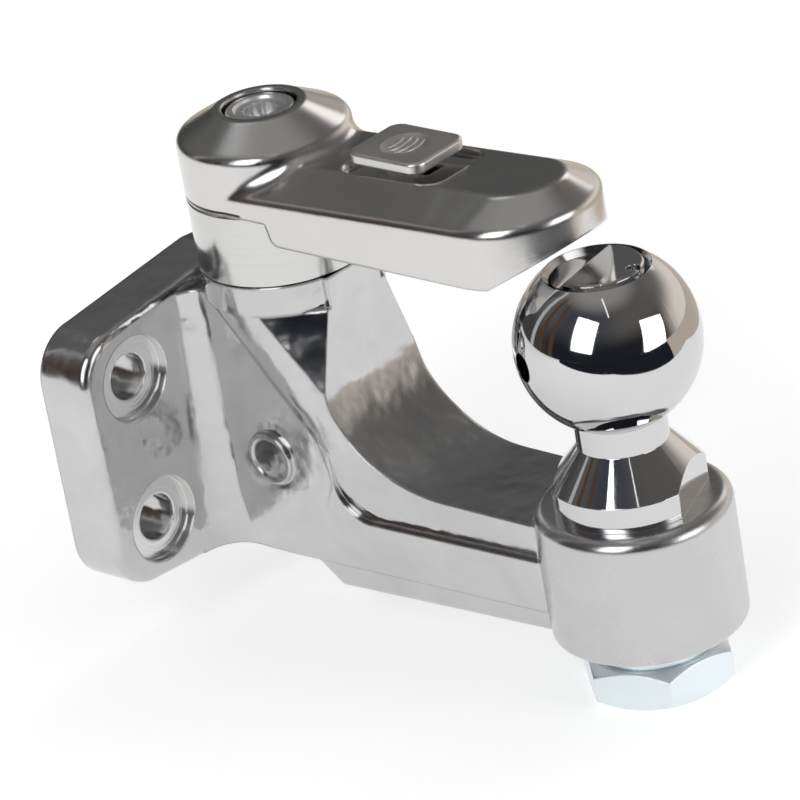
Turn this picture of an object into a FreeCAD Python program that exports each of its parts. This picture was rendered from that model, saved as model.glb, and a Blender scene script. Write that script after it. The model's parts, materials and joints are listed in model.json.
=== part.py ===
import FreeCAD, Part
import math
import os
import Sketcher

# Bolt-on pintle hook with a detachable two inch tow ball, in millimetres.
# The origin is the middle of the four mounting bolts on the back face of the plate.
# X runs from the plate to the ball, Z is up, and the hook is symmetric about Y = 0.

SIZES = [
    ("plate_thick", 17.5),
    ("plate_half_width", 62.0),
    ("plate_half_height", 43.5),
    ("plate_side_half_height", 39.0),
    ("plate_corner", 14.0),
    ("plate_edge", 2.6),
    ("bolt_edge_y", 19.14),
    ("bolt_edge_z", 16.775),
    ("bolt_hole_radius", 6.75),
    ("bolt_seat_radius", 12.3),
    ("bolt_seat_depth", 2.9),
    ("pivot_offset", 24.2),
    ("ball_reach", 114.6),
    ("hub_radius", 24.6),
    ("seat_top", 47.0),
    ("seat_height", 8.7),
    ("neck_hollow_start", 8.6),
    ("neck_foot_z", -6.0),
    ("neck_foot_radius", 18.9),
    ("neck_foot_forward", 27.0),
    ("web_half", 19.0),
    ("web_recess_depth", 1.5),
    ("web_recess_end_z", -23.0),
    ("rail_depth", 1.9),
    ("rail_bend", 9.7),
    ("rail_bend_z", -23.4),
    ("rail_end_z", -20.9),
    ("rail_start_z", -13.0),
    ("rail_fade_z", -9.0),
    ("web_flare_margin", 0.56),
    ("web_flare_taper", 3.5),
    ("front_pad_half", 10.5),
    ("throat_wall_offset", 24.4),
    ("throat_half_width", 37.4),
    ("throat_drop", 28.8),
    ("throat_centre_z", 18.0),
    ("web_bottom_z", -39.9),
    ("web_bottom_end_z", -36.6),
    ("keel_half", 17.6),
    ("keel_deep_z", -48.0),
    ("keel_start_x", 47.0),
    ("keel_slope_run", 10.5),
    ("keel_edge", 2.5),
    ("stud_pad_radius", 7.8),
    ("stud_pad_back", 1.3),
    ("stud_pad_z", -9.5),
    ("stud_pad_height", 0.7),
    ("stud_pad_rim", 1.3),
    ("stud_pad_rim_height", 0.5),
    ("boss_radius", 27.1),
    ("boss_top_z", -5.5),
    ("boss_height", 38.0),
    ("boss_top_edge", 3.5),
    ("boss_bottom_edge", 2.2),
    ("collar_height", 21.4),
    ("collar_edge", 0.5),
    ("spigot_radius", 14.5),
    ("spigot_height", 11.3),
    ("swing_degrees", 95.0),
    ("dowel_radius", 2.0),
    ("dowel_length", 12.0),
    ("dowel_circle", 17.0),
    ("screw_radius", 5.0),
    ("screw_shoulder_radius", 6.5),
    ("screw_head_radius", 9.7),
    ("screw_head_gap", 0.9),
    ("screw_head_height", 6.6),
    ("screw_dish_radius", 7.6),
    ("screw_dish_depth", 0.9),
    ("screw_key_flats", 9.0),
    ("screw_key_depth", 4.0),
    ("screw_in_seat", 22.0),
    ("pivot_washer_thick", 1.5),
    ("thrust_washer_thick", 1.2),
    ("thrust_washer_inner", 17.4),
    ("thrust_washer_outer", 22.0),
    ("bush_wall", 1.9),
    ("hub_side_height", 16.5),
    ("hub_dome_height", 6.3),
    ("hub_top_radius", 12.9),
    ("hub_rim", 0.8),
    ("hub_recess_depth", 9.0),
    ("arm_inset", 0.3),
    ("arm_bottom_z", 62.5),
    ("arm_end_centre", 88.3),
    ("arm_shoulder_height", 13.0),
    ("arm_slope_degrees", 2.5),
    ("arm_bevel_height", 6.4),
    ("deck_half", 12.5),
    ("deck_end_centre", 92.5),
    ("arm_undercut_start", 96.3),
    ("arm_undercut_degrees", 29.2),
    ("arm_throat_start", 22.9),
    ("arm_throat_round", 3.2),
    ("arm_edge", 3.0),
    ("hub_blend", 5.0),
    ("slide_pocket_length", 35.0),
    ("slide_pocket_half", 11.1),
    ("slide_pocket_depth", 2.0),
    ("slide_pocket_corner", 4.5),
    ("slide_pocket_rim", 1.1),
    ("slide_length", 25.6),
    ("slide_half", 10.8),
    ("slide_thick", 3.4),
    ("slide_corner", 4.0),
    ("slide_edge", 0.9),
    ("slide_stem_back", 1.85),
    ("slide_rise", 0.6),
    ("slide_grip_radius", 7.0),
    ("slide_grip_depth", 1.0),
    ("slide_travel", 6.5),
    ("slide_stem_length", 8.5),
    ("slide_stem_half", 2.9),
    ("plunger_axis_z", 74.2),
    ("nose_radius", 3.9),
    ("nose_engaged", 4.2),
    ("nose_length", 17.7),
    ("plunger_radius", 6.0),
    ("plunger_length", 28.0),
    ("plunger_tail_radius", 2.6),
    ("plunger_tail_length", 10.0),
    ("plunger_pin_radius", 1.5),
    ("spring_space", 22.0),
    ("spring_wire", 0.9),
    ("spring_gap", 0.4),
    ("spring_radius", 4.3),
    ("cover_half", 13.0),
    ("cover_thick", 2.6),
    ("cover_start_margin", 2.3),
    ("cover_end_margin", 5.0),
    ("cover_screw_radius", 1.6),
    ("cover_screw_head", 2.7),
    ("cover_screw_sink", 1.5),
    ("cover_screw_length", 9.0),
    ("cover_seat_lead", 6.0),
    ("ball_radius", 25.4),
    ("ball_height", 41.56),
    ("post_radius", 12.6),
    ("post_top", 21.57),
    ("post_scoop_radius", 15.0),
    ("post_scoop_depth", 2.4),
    ("post_notch_radius", 1.9),
    ("post_turn_degrees", 8.0),
    ("flange_radius", 21.4),
    ("flange_height", 7.3),
    ("cone_top_z", 12.3),
    ("wrench_flats", 36.0),
    ("wrench_turn_degrees", 20.0),
    ("shank_radius", 12.65),
    ("shank_end_edge", 1.5),
    ("ball_mouth_radius", 14.6),
    ("lock_hole_radius", 4.1),
    ("ball_lift", 1.8),
    ("lock_turn_degrees", -115.0),
    ("button_nose_radius", 3.85),
    ("button_out", 1.7),
    ("button_flange_radius", 4.9),
    ("button_flange_length", 2.2),
    ("retainer_length", 1.7),
    ("button_bore_radius", 5.1),
    ("button_bore_depth", 18.0),
    ("button_spring_wire", 0.8),
    ("lock_washer_thick", 6.35),
    ("lock_washer_radius", 17.3),
    ("lock_washer_gap", 2.5),
    ("nut_height", 11.35),
    ("nut_flats", 38.1),
    ("nut_turn_degrees", 18.0),
    ("fit", 0.05),
    ("running_gap", 0.1),
    ("swing_gap", 0.3),
]

doc = FreeCAD.newDocument("tow_ball_hook")
sheet = doc.addObject("Spreadsheet::Sheet", "Sizes")
for row, (alias, number) in enumerate(SIZES, start=1):
    sheet.set(f"A{row}", alias.replace("_", " "))
    sheet.set(f"B{row}", str(number))
    sheet.setAlias(f"B{row}", alias)
doc.recompute()


class Size:
    """A length or angle that carries the sheet expression it is worked out from."""

    def __init__(self, text, value):
        self.text = text
        self.value = value

    def __add__(self, other):
        other = as_size(other)
        return Size(f"({self.text} + {other.text})", self.value + other.value)

    def __sub__(self, other):
        other = as_size(other)
        return Size(f"({self.text} - {other.text})", self.value - other.value)

    def __mul__(self, other):
        other = as_size(other)
        return Size(f"({self.text} * {other.text})", self.value * other.value)

    def __truediv__(self, other):
        other = as_size(other)
        return Size(f"({self.text} / {other.text})", self.value / other.value)

    def __neg__(self):
        return Size(f"(0 - {self.text})", -self.value)

    __radd__ = __add__

    def __rsub__(self, other):
        return as_size(other) - self


def as_size(thing):
    if isinstance(thing, Size):
        return thing
    return Size(f"{float(thing):.6f}", float(thing))


def leg(long_side, short_side):
    """The third side of a right-angled triangle."""
    value = math.sqrt(long_side.value ** 2 - short_side.value ** 2)
    return Size(f"sqrt({long_side.text} ^ 2 - {short_side.text} ^ 2)", value)


S = {alias: Size(f"Sizes.{alias}", float(sheet.get(alias))) for alias, number in SIZES}
ZERO = as_size(0)

# Places that several pieces share.
pivot_x = S["plate_thick"] + S["pivot_offset"]
ball_x = pivot_x + S["ball_reach"]
bolt_half_y = S["plate_half_width"] - S["bolt_edge_y"]
bolt_half_z = S["plate_side_half_height"] - S["bolt_edge_z"]
arm_half = S["hub_radius"] - S["arm_inset"]
collar_top = S["seat_top"] + S["collar_height"]
spigot_top = collar_top + S["spigot_height"]
hub_bottom = collar_top + S["swing_gap"]
hub_side_top = hub_bottom + S["hub_side_height"]
hub_top = hub_side_top + S["hub_dome_height"]
hub_recess_floor = hub_top - S["hub_recess_depth"]
bush_outer = S["spigot_radius"] + S["running_gap"] + S["bush_wall"]
washer_bottom = hub_recess_floor + S["running_gap"]
washer_top = washer_bottom + S["pivot_washer_thick"]
throat_wall_x = pivot_x + S["throat_wall_offset"]
throat_centre_x = throat_wall_x + S["throat_half_width"]
throat_floor_z = S["throat_centre_z"] - S["throat_drop"]
boss_bottom = S["boss_top_z"] - S["boss_height"]
seat_bottom = S["seat_top"] - S["seat_height"]
nose_tip_x = pivot_x + S["spigot_radius"] - S["nose_engaged"]
shoulder_x = nose_tip_x + S["nose_length"]
shoulder_end_x = shoulder_x + S["plunger_length"]
cavity_start_x = shoulder_x - S["running_gap"]
cavity_end_x = shoulder_end_x + S["spring_space"]
stem_mid_x = shoulder_x + S["plunger_length"] - S["slide_stem_length"] / 2 - 0.5
slide_mid_x = stem_mid_x + S["slide_stem_back"]
ball_z = S["ball_height"]
post_top_z = ball_z + S["post_top"]
retainer_front = leg(S["post_radius"], S["button_bore_radius"]) - S["running_gap"]
retainer_back = retainer_front - S["retainer_length"]
nut_top = boss_bottom - S["lock_washer_thick"]
nut_bottom = nut_top - S["nut_height"]


def bind(thing, **sizes):
    """Ties each named property of a document object to its expression."""
    for name, size in sizes.items():
        thing.setExpression(name, as_size(size).text)
    return thing


def bind_place(thing, x=ZERO, y=ZERO, z=ZERO):
    for axis, size in zip("xyz", (x, y, z)):
        thing.setExpression(f"Placement.Base.{axis}", as_size(size).text)


ALONG_Z = FreeCAD.Rotation()
ALONG_X = FreeCAD.Rotation(FreeCAD.Vector(0, 1, 0), 90)
ALONG_Y = FreeCAD.Rotation(FreeCAD.Vector(1, 0, 0), -90)


def cylinder(name, radius, length, x=ZERO, y=ZERO, z=ZERO, way=ALONG_Z):
    solid = bind(doc.addObject("Part::Cylinder", name), Radius=radius, Height=length)
    solid.Placement = FreeCAD.Placement(FreeCAD.Vector(), way)
    bind_place(solid, x, y, z)
    return solid


def cone(name, low_radius, high_radius, length, x, z):
    solid = bind(doc.addObject("Part::Cone", name), Radius1=low_radius, Radius2=high_radius, Height=length)
    bind_place(solid, x, ZERO, z)
    return solid


def box(name, x0, x1, y0, y1, z0, z1):
    solid = doc.addObject("Part::Box", name)
    bind(solid, Length=as_size(x1) - x0, Width=as_size(y1) - y0, Height=as_size(z1) - z0)
    bind_place(solid, x0, y0, z0)
    return solid


def fuse(name, *pieces):
    joined = doc.addObject("Part::MultiFuse", name)
    joined.Shapes = list(pieces)
    return joined


def common(name, *pieces):
    shared = doc.addObject("Part::MultiCommon", name)
    shared.Shapes = list(pieces)
    return shared


def cut(name, base, *tools):
    tool = tools[0] if len(tools) == 1 else fuse(name + "_tools", *tools)
    result = doc.addObject("Part::Cut", name)
    result.Base = base
    result.Tool = tool
    return result


def round_edges(name, base, radius, wanted):
    """Rounds the edges of a solid whose middle point the test accepts."""
    doc.recompute()
    rounded = doc.addObject("Part::Fillet", name)
    rounded.Base = base
    picked = [i for i, edge in enumerate(base.Shape.Edges, start=1) if wanted(edge)]
    rounded.Edges = [(i, radius.value, radius.value) for i in picked]
    return rounded


def middle(edge):
    return edge.valueAt((edge.FirstParameter + edge.LastParameter) / 2)


def at_height(z):
    """Accepts edges that lie wholly at one height."""
    level = as_size(z).value

    def test(edge):
        box_of_edge = edge.BoundBox
        return abs(box_of_edge.ZMin - level) < 0.02 and abs(box_of_edge.ZMax - level) < 0.02

    return test


def draw(sketch, corners, arcs=None):
    """Draws a closed outline. Every corner is tied to its own pair of expressions.

    arcs names the corners from which an arc runs to the next one, as
    corner: (centre_u, centre_v, "u" or "v" for the one that is tied, anticlockwise).
    """
    arcs = arcs or {}
    points = [(as_size(u), as_size(v)) for u, v in corners]
    count = len(points)
    for i in range(count):
        a = FreeCAD.Vector(points[i][0].value, points[i][1].value, 0)
        b = FreeCAD.Vector(points[(i + 1) % count][0].value, points[(i + 1) % count][1].value, 0)
        if i not in arcs:
            sketch.addGeometry(Part.LineSegment(a, b))
            continue
        centre_u, centre_v, tied, anticlockwise = arcs[i]
        centre = FreeCAD.Vector(as_size(centre_u).value, as_size(centre_v).value, 0)
        first = math.atan2(a.y - centre.y, a.x - centre.x)
        last = math.atan2(b.y - centre.y, b.x - centre.x)
        if not anticlockwise:
            first, last = last, first
        circle = Part.Circle(centre, FreeCAD.Vector(0, 0, 1), (a - centre).Length)
        sketch.addGeometry(Part.ArcOfCircle(circle, first, last))
    START, END, CENTRE, ORIGIN = 1, 2, 3, -1

    def ends(i):
        clockwise = i in arcs and not arcs[i][3]
        return (END, START) if clockwise else (START, END)

    for i in range(count):
        follower = (i + 1) % count
        sketch.addConstraint(Sketcher.Constraint("Coincident", i, ends(i)[1], follower, ends(follower)[0]))
    for i, (u, v) in enumerate(points):
        for way, letter, size in (("DistanceX", "u", u), ("DistanceY", "v", v)):
            number = sketch.addConstraint(Sketcher.Constraint(way, ORIGIN, 1, i, ends(i)[0], size.value))
            sketch.renameConstraint(number, f"{letter}{i}")
            sketch.setExpression(f"Constraints.{letter}{i}", size.text)
    for i, (centre_u, centre_v, tied, anticlockwise) in arcs.items():
        way, size = ("DistanceX", as_size(centre_u)) if tied == "u" else ("DistanceY", as_size(centre_v))
        number = sketch.addConstraint(Sketcher.Constraint(way, ORIGIN, 1, i, CENTRE, size.value))
        sketch.renameConstraint(number, f"c{i}")
        sketch.setExpression(f"Constraints.c{i}", size.text)


def body_sketch(body, role, corners, arcs=None):
    sketch = body.newObject("Sketcher::SketchObject", body.Name + "_outline")
    plane = [f for f in body.Origin.OriginFeatures if f.Role == role][0]
    sketch.AttachmentSupport = (plane, [""])
    sketch.MapMode = "FlatFace"
    draw(sketch, corners, arcs)
    return sketch


def slab(name, role, half_width, corners, arcs=None):
    """A body padded the same way to both sides of one of its origin planes."""
    body = doc.addObject("PartDesign::Body", name)
    sketch = body_sketch(body, role, corners, arcs)
    pad = body.newObject("PartDesign::Pad", name + "_pad")
    pad.Profile = sketch
    pad.SideType = "Symmetric"
    pad.setExpression("Length", (as_size(half_width) * 2).text)
    return body


def turned(name, corners, x=ZERO, z=ZERO, arcs=None, way=None):
    """A body turned about its own Z axis from a radius and height outline."""
    body = doc.addObject("PartDesign::Body", name)
    sketch = body_sketch(body, "XZ_Plane", corners, arcs)
    revolution = body.newObject("PartDesign::Revolution", name + "_turn")
    revolution.Profile = sketch
    revolution.ReferenceAxis = (sketch, ["V_Axis"])
    revolution.Angle = 360
    if way is not None:
        body.Placement = FreeCAD.Placement(FreeCAD.Vector(), way)
    bind_place(body, x, ZERO, z)
    return body


def solid_feature(name, shape):
    feature = doc.addObject("Part::Feature", name)
    feature.Shape = shape
    return feature


def mirrored(name, source):
    twin = doc.addObject("Part::Mirroring", name)
    twin.Source = source
    twin.Normal = (0, 1, 0)
    return twin


nodes = []


def node(name, solid):
    """Gives a finished piece its own name and lists it for export."""
    solid.Label = name
    nodes.append(solid)
    return solid


# The mounting plate: a flat slab whose long edges crown slightly towards the middle.

def plate():
    half_y = S["plate_half_width"]
    side_z = S["plate_side_half_height"]
    corner = S["plate_corner"]
    top = S["plate_half_height"]
    body = doc.addObject("PartDesign::Body", "plate_slab")
    corners = [
        (half_y, corner - side_z), (half_y, side_z - corner), (half_y - corner, side_z),
        (ZERO, top), (corner - half_y, side_z), (-half_y, side_z - corner),
        (-half_y, corner - side_z), (corner - half_y, -side_z), (ZERO, -top), (half_y - corner, -side_z),
    ]
    arcs = {
        1: (half_y - corner, side_z - corner, "u", True),
        4: (corner - half_y, side_z - corner, "u", True),
        6: (corner - half_y, corner - side_z, "u", True),
        9: (half_y - corner, corner - side_z, "u", True),
    }
    sketch = body_sketch(body, "YZ_Plane", corners, arcs)
    pad = body.newObject("PartDesign::Pad", "plate_pad")
    pad.Profile = sketch
    pad.setExpression("Length", S["plate_thick"].text)
    front = S["plate_thick"].value

    def on_front(edge):
        return edge.BoundBox.XMin > front - 0.02

    return round_edges("plate_rounded", body, S["plate_edge"], on_front)


# A shallow face sunk into the side of the web. Its depth changes evenly with height.

def sunk_face(name, outline, deep_z, deep, shallow_z, shallow, slope=0.0):
    web = S["web_half"].value
    rate = (deep - shallow) / (deep_z - shallow_z)

    def corner(x, z):
        depth = shallow + rate * (z - slope * x - shallow_z)
        return FreeCAD.Vector(x, depth - web, z)

    edges = []
    for piece in outline:
        spots = [corner(x, z) for x, z in piece]
        edges.append(Part.Arc(*spots).toShape() if len(spots) == 3 else Part.makeLine(*spots))
    face = Part.Face(Part.Wire(Part.__sortEdges__(edges)))
    solid = solid_feature(name, face.extrude(FreeCAD.Vector(0, -2 * web, 0)))
    return solid, mirrored(name + "_far", solid)


def neck_bevels():
    """The hollow under the seat, where each side of the neck leans in to the throat."""
    web = S["web_half"].value
    wall = throat_wall_x.value
    rim_z = seat_bottom.value
    radius = S["hub_radius"].value
    forward = S["neck_hollow_start"].value
    back_x = pivot_x.value + forward
    seat_y = math.sqrt(radius ** 2 - forward ** 2)
    back = FreeCAD.Vector(back_x, -seat_y, rim_z)
    front = FreeCAD.Vector(wall + 2.0, -S["front_pad_half"].value, rim_z)
    low = FreeCAD.Vector(wall, -web, S["throat_centre_z"].value - 2.5)
    face = Part.Face(Part.makePolygon([back, front, low, back]))
    solid = solid_feature("neck_bevel", face.extrude(FreeCAD.Vector(0, -2 * web, 0)))
    return solid, mirrored("neck_bevel_far", solid)


def round_section(name, radius, x, z):
    section = bind(doc.addObject("Part::Circle", name), Radius=radius)
    bind_place(section, x, ZERO, z)
    return section


def neck_sweep():
    """The round seat flows down and forward into the cheeks of the web."""
    sweep = doc.addObject("Part::Loft", "neck_sweep")
    sweep.Sections = [
        round_section("neck_foot", S["neck_foot_radius"], pivot_x + S["neck_foot_forward"], S["neck_foot_z"]),
        round_section("neck_head", S["hub_radius"], pivot_x, seat_bottom + 1),
    ]
    sweep.Solid = True
    sweep.Ruled = True
    return sweep


def flare_section(name, z, web, reach):
    """One level outline of the concave corners where the web meets the plate."""
    face = S["plate_thick"]
    wide = web + reach
    sketch = doc.addObject("Sketcher::SketchObject", name)
    draw(sketch, [
        (face - 2, -wide), (face, -wide), (face + reach, -web), (face + reach, web), (face, wide),
        (face - 2, wide),
    ], {1: (face + reach, -wide, "u", False), 3: (face + reach, wide, "u", False)})
    bind_place(sketch, z=z)
    return sketch


def web_flare():
    top_web = S["web_half"] - S["web_recess_depth"]
    reach = bolt_half_y - S["bolt_seat_radius"] - S["web_flare_margin"] - S["web_half"]
    flare = doc.addObject("Part::Loft", "web_flare")
    flare.Sections = [
        flare_section("flare_foot", S["web_bottom_z"], S["web_half"], reach),
        flare_section("flare_head", S["plate_side_half_height"], top_web,
                      reach - S["web_flare_taper"]),
    ]
    flare.Solid = True
    flare.Ruled = True
    return flare


def hook_casting():
    plate_solid = plate()
    thick = S["plate_thick"]
    bottom = S["web_bottom_z"]
    boss_join = ball_x - S["boss_radius"] * 0.72
    web = slab("web_slab", "XZ_Plane", S["web_half"], [
        (thick / 2, bottom), (pivot_x, bottom), (boss_join, S["web_bottom_end_z"]),
        (boss_join, S["seat_top"]), (pivot_x, S["seat_top"]), (pivot_x, S["plate_side_half_height"]),
        (thick / 2, S["plate_side_half_height"]),
    ])
    front_x = S["plate_thick"].value - 4
    above = S["seat_top"] + 1
    far = ball_x + S["boss_radius"]
    side = S["web_half"] * 2
    arch = doc.addObject("Part::Ellipse", "throat_arch")
    bind(arch, MajorRadius=S["throat_half_width"], MinorRadius=S["throat_drop"])
    throat_round = doc.addObject("Part::Extrusion", "throat_round")
    throat_round.Base = arch
    throat_round.DirMode = "Custom"
    throat_round.Dir = (0, 0, 1)
    throat_round.Solid = True
    throat_round.Symmetric = True
    throat_round.setExpression("LengthFwd", (side * 2).text)
    upright = FreeCAD.Rotation(FreeCAD.Vector(1, 0, 0), 90)
    throat_round.Placement = FreeCAD.Placement(FreeCAD.Vector(), upright)
    bind_place(throat_round, throat_centre_x, ZERO, S["throat_centre_z"])
    throat_wall = box("throat_wall", throat_wall_x, far, -side, side, S["throat_centre_z"], above)
    throat_floor = box("throat_floor", throat_centre_x, far, -side, side, throat_floor_z, above)
    throat = fuse("throat_space", throat_round, throat_wall, throat_floor)

    bend_x = (throat_wall_x + S["rail_bend"]).value
    bend_z = S["rail_bend_z"].value
    end_x = boss_join.value + 6
    end_z = S["rail_end_z"].value
    start_x = throat_wall_x.value - 3.0
    start_z = S["rail_start_z"].value
    rim = S["throat_centre_z"].value
    slope = (end_z - bend_z) / (end_x - bend_x)
    rail = sunk_face("side_rail", [
        [(start_x, start_z), (start_x + 4.0, start_z - 7.5), (bend_x, bend_z)],
        [(bend_x, bend_z), (end_x, end_z)],
        [(end_x, end_z), (end_x, rim)],
        [(end_x, rim), (start_x, rim)],
        [(start_x, rim), (start_x, start_z)],
    ], bend_z, S["rail_depth"].value, S["rail_fade_z"].value, 0.3, slope)
    hollow_top = S["plate_side_half_height"].value + 2
    hollow_end = S["web_recess_end_z"].value
    hollow_x = pivot_x.value
    hollow = sunk_face("web_hollow", [
        [(front_x, hollow_end), (hollow_x + 16.5, hollow_end)],
        [(hollow_x + 16.5, hollow_end), (start_x - 0.6, start_z)],
        [(start_x - 0.6, start_z), (hollow_x + 16.9, 1.5), (hollow_x + 7.6, 18.0)],
        [(hollow_x + 7.6, 18.0), (hollow_x - 7.0, hollow_top)],
        [(hollow_x - 7.0, hollow_top), (front_x, hollow_top)],
        [(front_x, hollow_top), (front_x, hollow_end)],
    ], hollow_top, S["web_recess_depth"].value, hollow_end, 0.0)
    body = fuse("web_and_neck", cut("web_hollowed", web, *hollow), neck_sweep())
    pad_half = S["front_pad_half"]
    pad_cheeks = [
        box("neck_cheek", pivot_x, throat_wall_x + 5, -side, -pad_half, seat_bottom, above),
        box("neck_cheek_far", pivot_x, throat_wall_x + 5, pad_half, side, seat_bottom, above),
    ]
    body = cut("web_shaped", body, throat, *neck_bevels(), *rail, *pad_cheeks)

    keel_end = ball_x - S["boss_radius"] * 0.7
    keel_start = S["keel_start_x"]
    keel_run = S["keel_slope_run"]
    keel_depth = S["web_bottom_z"] - S["keel_deep_z"]
    keel = slab("keel_slab", "XZ_Plane", S["keel_half"], [
        (keel_start, bottom + keel_depth), (keel_start, bottom), (keel_start + keel_run, S["keel_deep_z"]),
        (keel_end, boss_bottom - 0.2), (keel_end, S["web_bottom_end_z"] + keel_depth),
    ])
    deep = S["keel_deep_z"].value

    def under_edge(edge):
        spot = middle(edge)
        return abs(edge.BoundBox.YLength) < 0.01 and spot.z < deep + 7 and edge.BoundBox.XLength > 8

    keel = round_edges("keel_rounded", keel, S["keel_edge"], under_edge)

    pad_top = S["stud_pad_height"] + 2
    rim_top = pad_top + S["stud_pad_rim_height"]
    pad_inner = S["stud_pad_radius"] - S["stud_pad_rim"]
    seat = cylinder("seat_round", S["hub_radius"], S["seat_height"], pivot_x, ZERO, seat_bottom)
    boss = cylinder("boss_round", S["boss_radius"], S["boss_height"], ball_x, ZERO, boss_bottom)
    boss = round_edges("boss_top_rounded", boss, S["boss_top_edge"], at_height(S["boss_top_z"]))
    boss = round_edges("boss_both_rounded", boss, S["boss_bottom_edge"], at_height(boss_bottom))
    stud_pad = turned("stud_pad", [
        (ZERO, ZERO), (S["stud_pad_radius"] + 0.4, ZERO), (S["stud_pad_radius"], rim_top),
        (pad_inner, rim_top), (pad_inner - 0.3, pad_top), (ZERO, pad_top),
    ], way=FreeCAD.Rotation(FreeCAD.Vector(1, 0, 0), 90))
    bind_place(stud_pad, pivot_x - S["stud_pad_back"], 2 - S["web_half"], S["stud_pad_z"])
    flare = web_flare()
    body = fuse("hook_joined", plate_solid, body, keel, seat, boss, stud_pad, flare)

    tools = [cylinder("shank_bore", S["shank_radius"] + S["fit"], S["boss_height"] + 2, ball_x, ZERO,
                      boss_bottom - 1)]
    tools.append(cylinder("screw_bore", S["screw_radius"] + S["fit"], S["screw_in_seat"] + 4, pivot_x, ZERO,
                          S["seat_top"] - S["screw_in_seat"] - 3))
    for number, (y_sign, z_sign) in enumerate(((-1, -1), (-1, 1), (1, -1), (1, 1))):
        y = bolt_half_y * y_sign
        z = bolt_half_z * z_sign
        tools.append(cylinder(f"bolt_bore_{number}", S["bolt_hole_radius"], thick + 2, as_size(-1), y, z,
                              ALONG_X))
        tools.append(cylinder(f"bolt_seat_{number}", S["bolt_seat_radius"], S["bolt_seat_depth"] + 20,
                              thick - S["bolt_seat_depth"], y, z, ALONG_X))
    for side_sign in (-1, 1):
        tools.append(cylinder(f"seat_dowel_bore_{side_sign + 1}", S["dowel_radius"] + S["fit"] / 2,
                              S["dowel_length"] / 2 + 0.5 + 1, pivot_x, S["dowel_circle"] * side_sign,
                              S["seat_top"] - S["dowel_length"] / 2 - 0.5))
    body = cut("hook_bored", body, *tools)
    node("hook_casting", body)


# The locating collar: a ring pinned to the seat, whose spigot carries the hub and the lock.

def pivot_collar():
    edge = S["collar_edge"]
    height = S["collar_height"]
    outer = S["hub_radius"]
    bore = S["screw_radius"] + 0.25
    spigot = S["spigot_radius"]
    top = height + S["spigot_height"]
    ring = turned("collar_ring", [
        (bore, ZERO), (outer - edge, ZERO), (outer, edge), (outer, height - edge), (outer - edge, height),
        (spigot, height), (spigot, top - edge), (spigot - edge, top), (bore, top),
    ], pivot_x, S["seat_top"])
    track_depth = S["nose_engaged"] + S["swing_gap"]
    track_inner = spigot - track_depth
    track_half = S["nose_radius"] + S["running_gap"]
    low = S["plunger_axis_z"] - track_half
    track_outer = cylinder("track_outer", spigot + 2, track_half * 2, pivot_x, ZERO, low)
    track_outer.setExpression("Angle", S["swing_degrees"].text)
    track_core = cylinder("track_core", track_inner, track_half * 2 + 2, pivot_x, ZERO, low - 1)
    track = cut("lock_track", track_outer, track_core)
    tools = [track]
    for number, turn in enumerate((0.0, S["swing_degrees"].value)):
        pocket = cylinder(f"lock_pocket_{number}", track_half, track_depth + 2)
        way = FreeCAD.Rotation(FreeCAD.Vector(0, 0, 1), turn)
        ahead = way.multVec(FreeCAD.Vector(1, 0, 0))
        pocket.Placement = FreeCAD.Placement(FreeCAD.Vector(), way.multiply(ALONG_X))
        bind_place(pocket, pivot_x + track_inner * ahead.x, track_inner * ahead.y, S["plunger_axis_z"])
        tools.append(pocket)
    for side_sign in (-1, 1):
        tools.append(cylinder(f"collar_dowel_bore_{side_sign + 1}", S["dowel_radius"] + S["fit"] / 2,
                              S["dowel_length"] / 2 + 0.5 + 1, pivot_x, S["dowel_circle"] * side_sign,
                              S["seat_top"] - 1))
    node("pivot_collar", cut("collar_cut", ring, *tools))


def collar_dowels():
    pins = []
    for side_sign in (-1, 1):
        pin = cylinder(f"dowel_{side_sign + 1}", S["dowel_radius"], S["dowel_length"], pivot_x,
                       S["dowel_circle"] * side_sign, S["seat_top"] - S["dowel_length"] / 2)
        pins.append(pin)
    group = doc.addObject("Part::Compound", "dowel_pair")
    group.Links = pins
    node("collar_dowels", group)


def hexagon(name, flats, length, x, z, turn_degrees):
    prism = doc.addObject("Part::Prism", name)
    prism.Polygon = 6
    prism.setExpression("Circumradius", (as_size(flats) / math.sqrt(3)).text)
    prism.setExpression("Height", as_size(length).text)
    prism.Placement = FreeCAD.Placement(
        FreeCAD.Vector(), FreeCAD.Rotation(FreeCAD.Vector(0, 0, 1), turn_degrees))
    bind_place(prism, x, ZERO, z)
    return prism


def pivot_bolt():
    thread = S["screw_radius"]
    shoulder = S["screw_shoulder_radius"]
    head = S["screw_head_radius"]
    bottom = S["seat_top"] - S["screw_in_seat"]
    shoulder_low = spigot_top - bottom
    head_low = washer_top - bottom
    head_high = head_low + S["screw_head_height"]
    dish = S["screw_dish_radius"]
    dish_low = head_high - S["screw_dish_depth"]
    screw = turned("pivot_screw", [
        (ZERO, ZERO), (thread - 0.8, ZERO), (thread, as_size(0.8)), (thread, shoulder_low),
        (shoulder, shoulder_low), (shoulder, head_low), (head, head_low), (head, head_high - 0.5),
        (head - 0.5, head_high), (dish, head_high), (dish - 0.5, dish_low), (ZERO, dish_low),
    ], pivot_x, bottom)
    keys = []
    for number, turn_degrees in enumerate((10, 40)):
        keys.append(hexagon(f"key_hexagon_{number}", S["screw_key_flats"], S["screw_key_depth"] + 1, pivot_x,
                            bottom + head_high - S["screw_key_depth"], turn_degrees))
    node("pivot_bolt", cut("pivot_screw_keyed", screw, *keys))


def ring(name, inner, outer, thick, x, z, edge=0.2):
    node(name, turned(name + "_ring", [
        (inner, ZERO), (outer - edge, ZERO), (outer, as_size(edge)), (outer, as_size(thick) - edge),
        (outer - edge, as_size(thick)), (inner, as_size(thick)),
    ], x, z))


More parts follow.
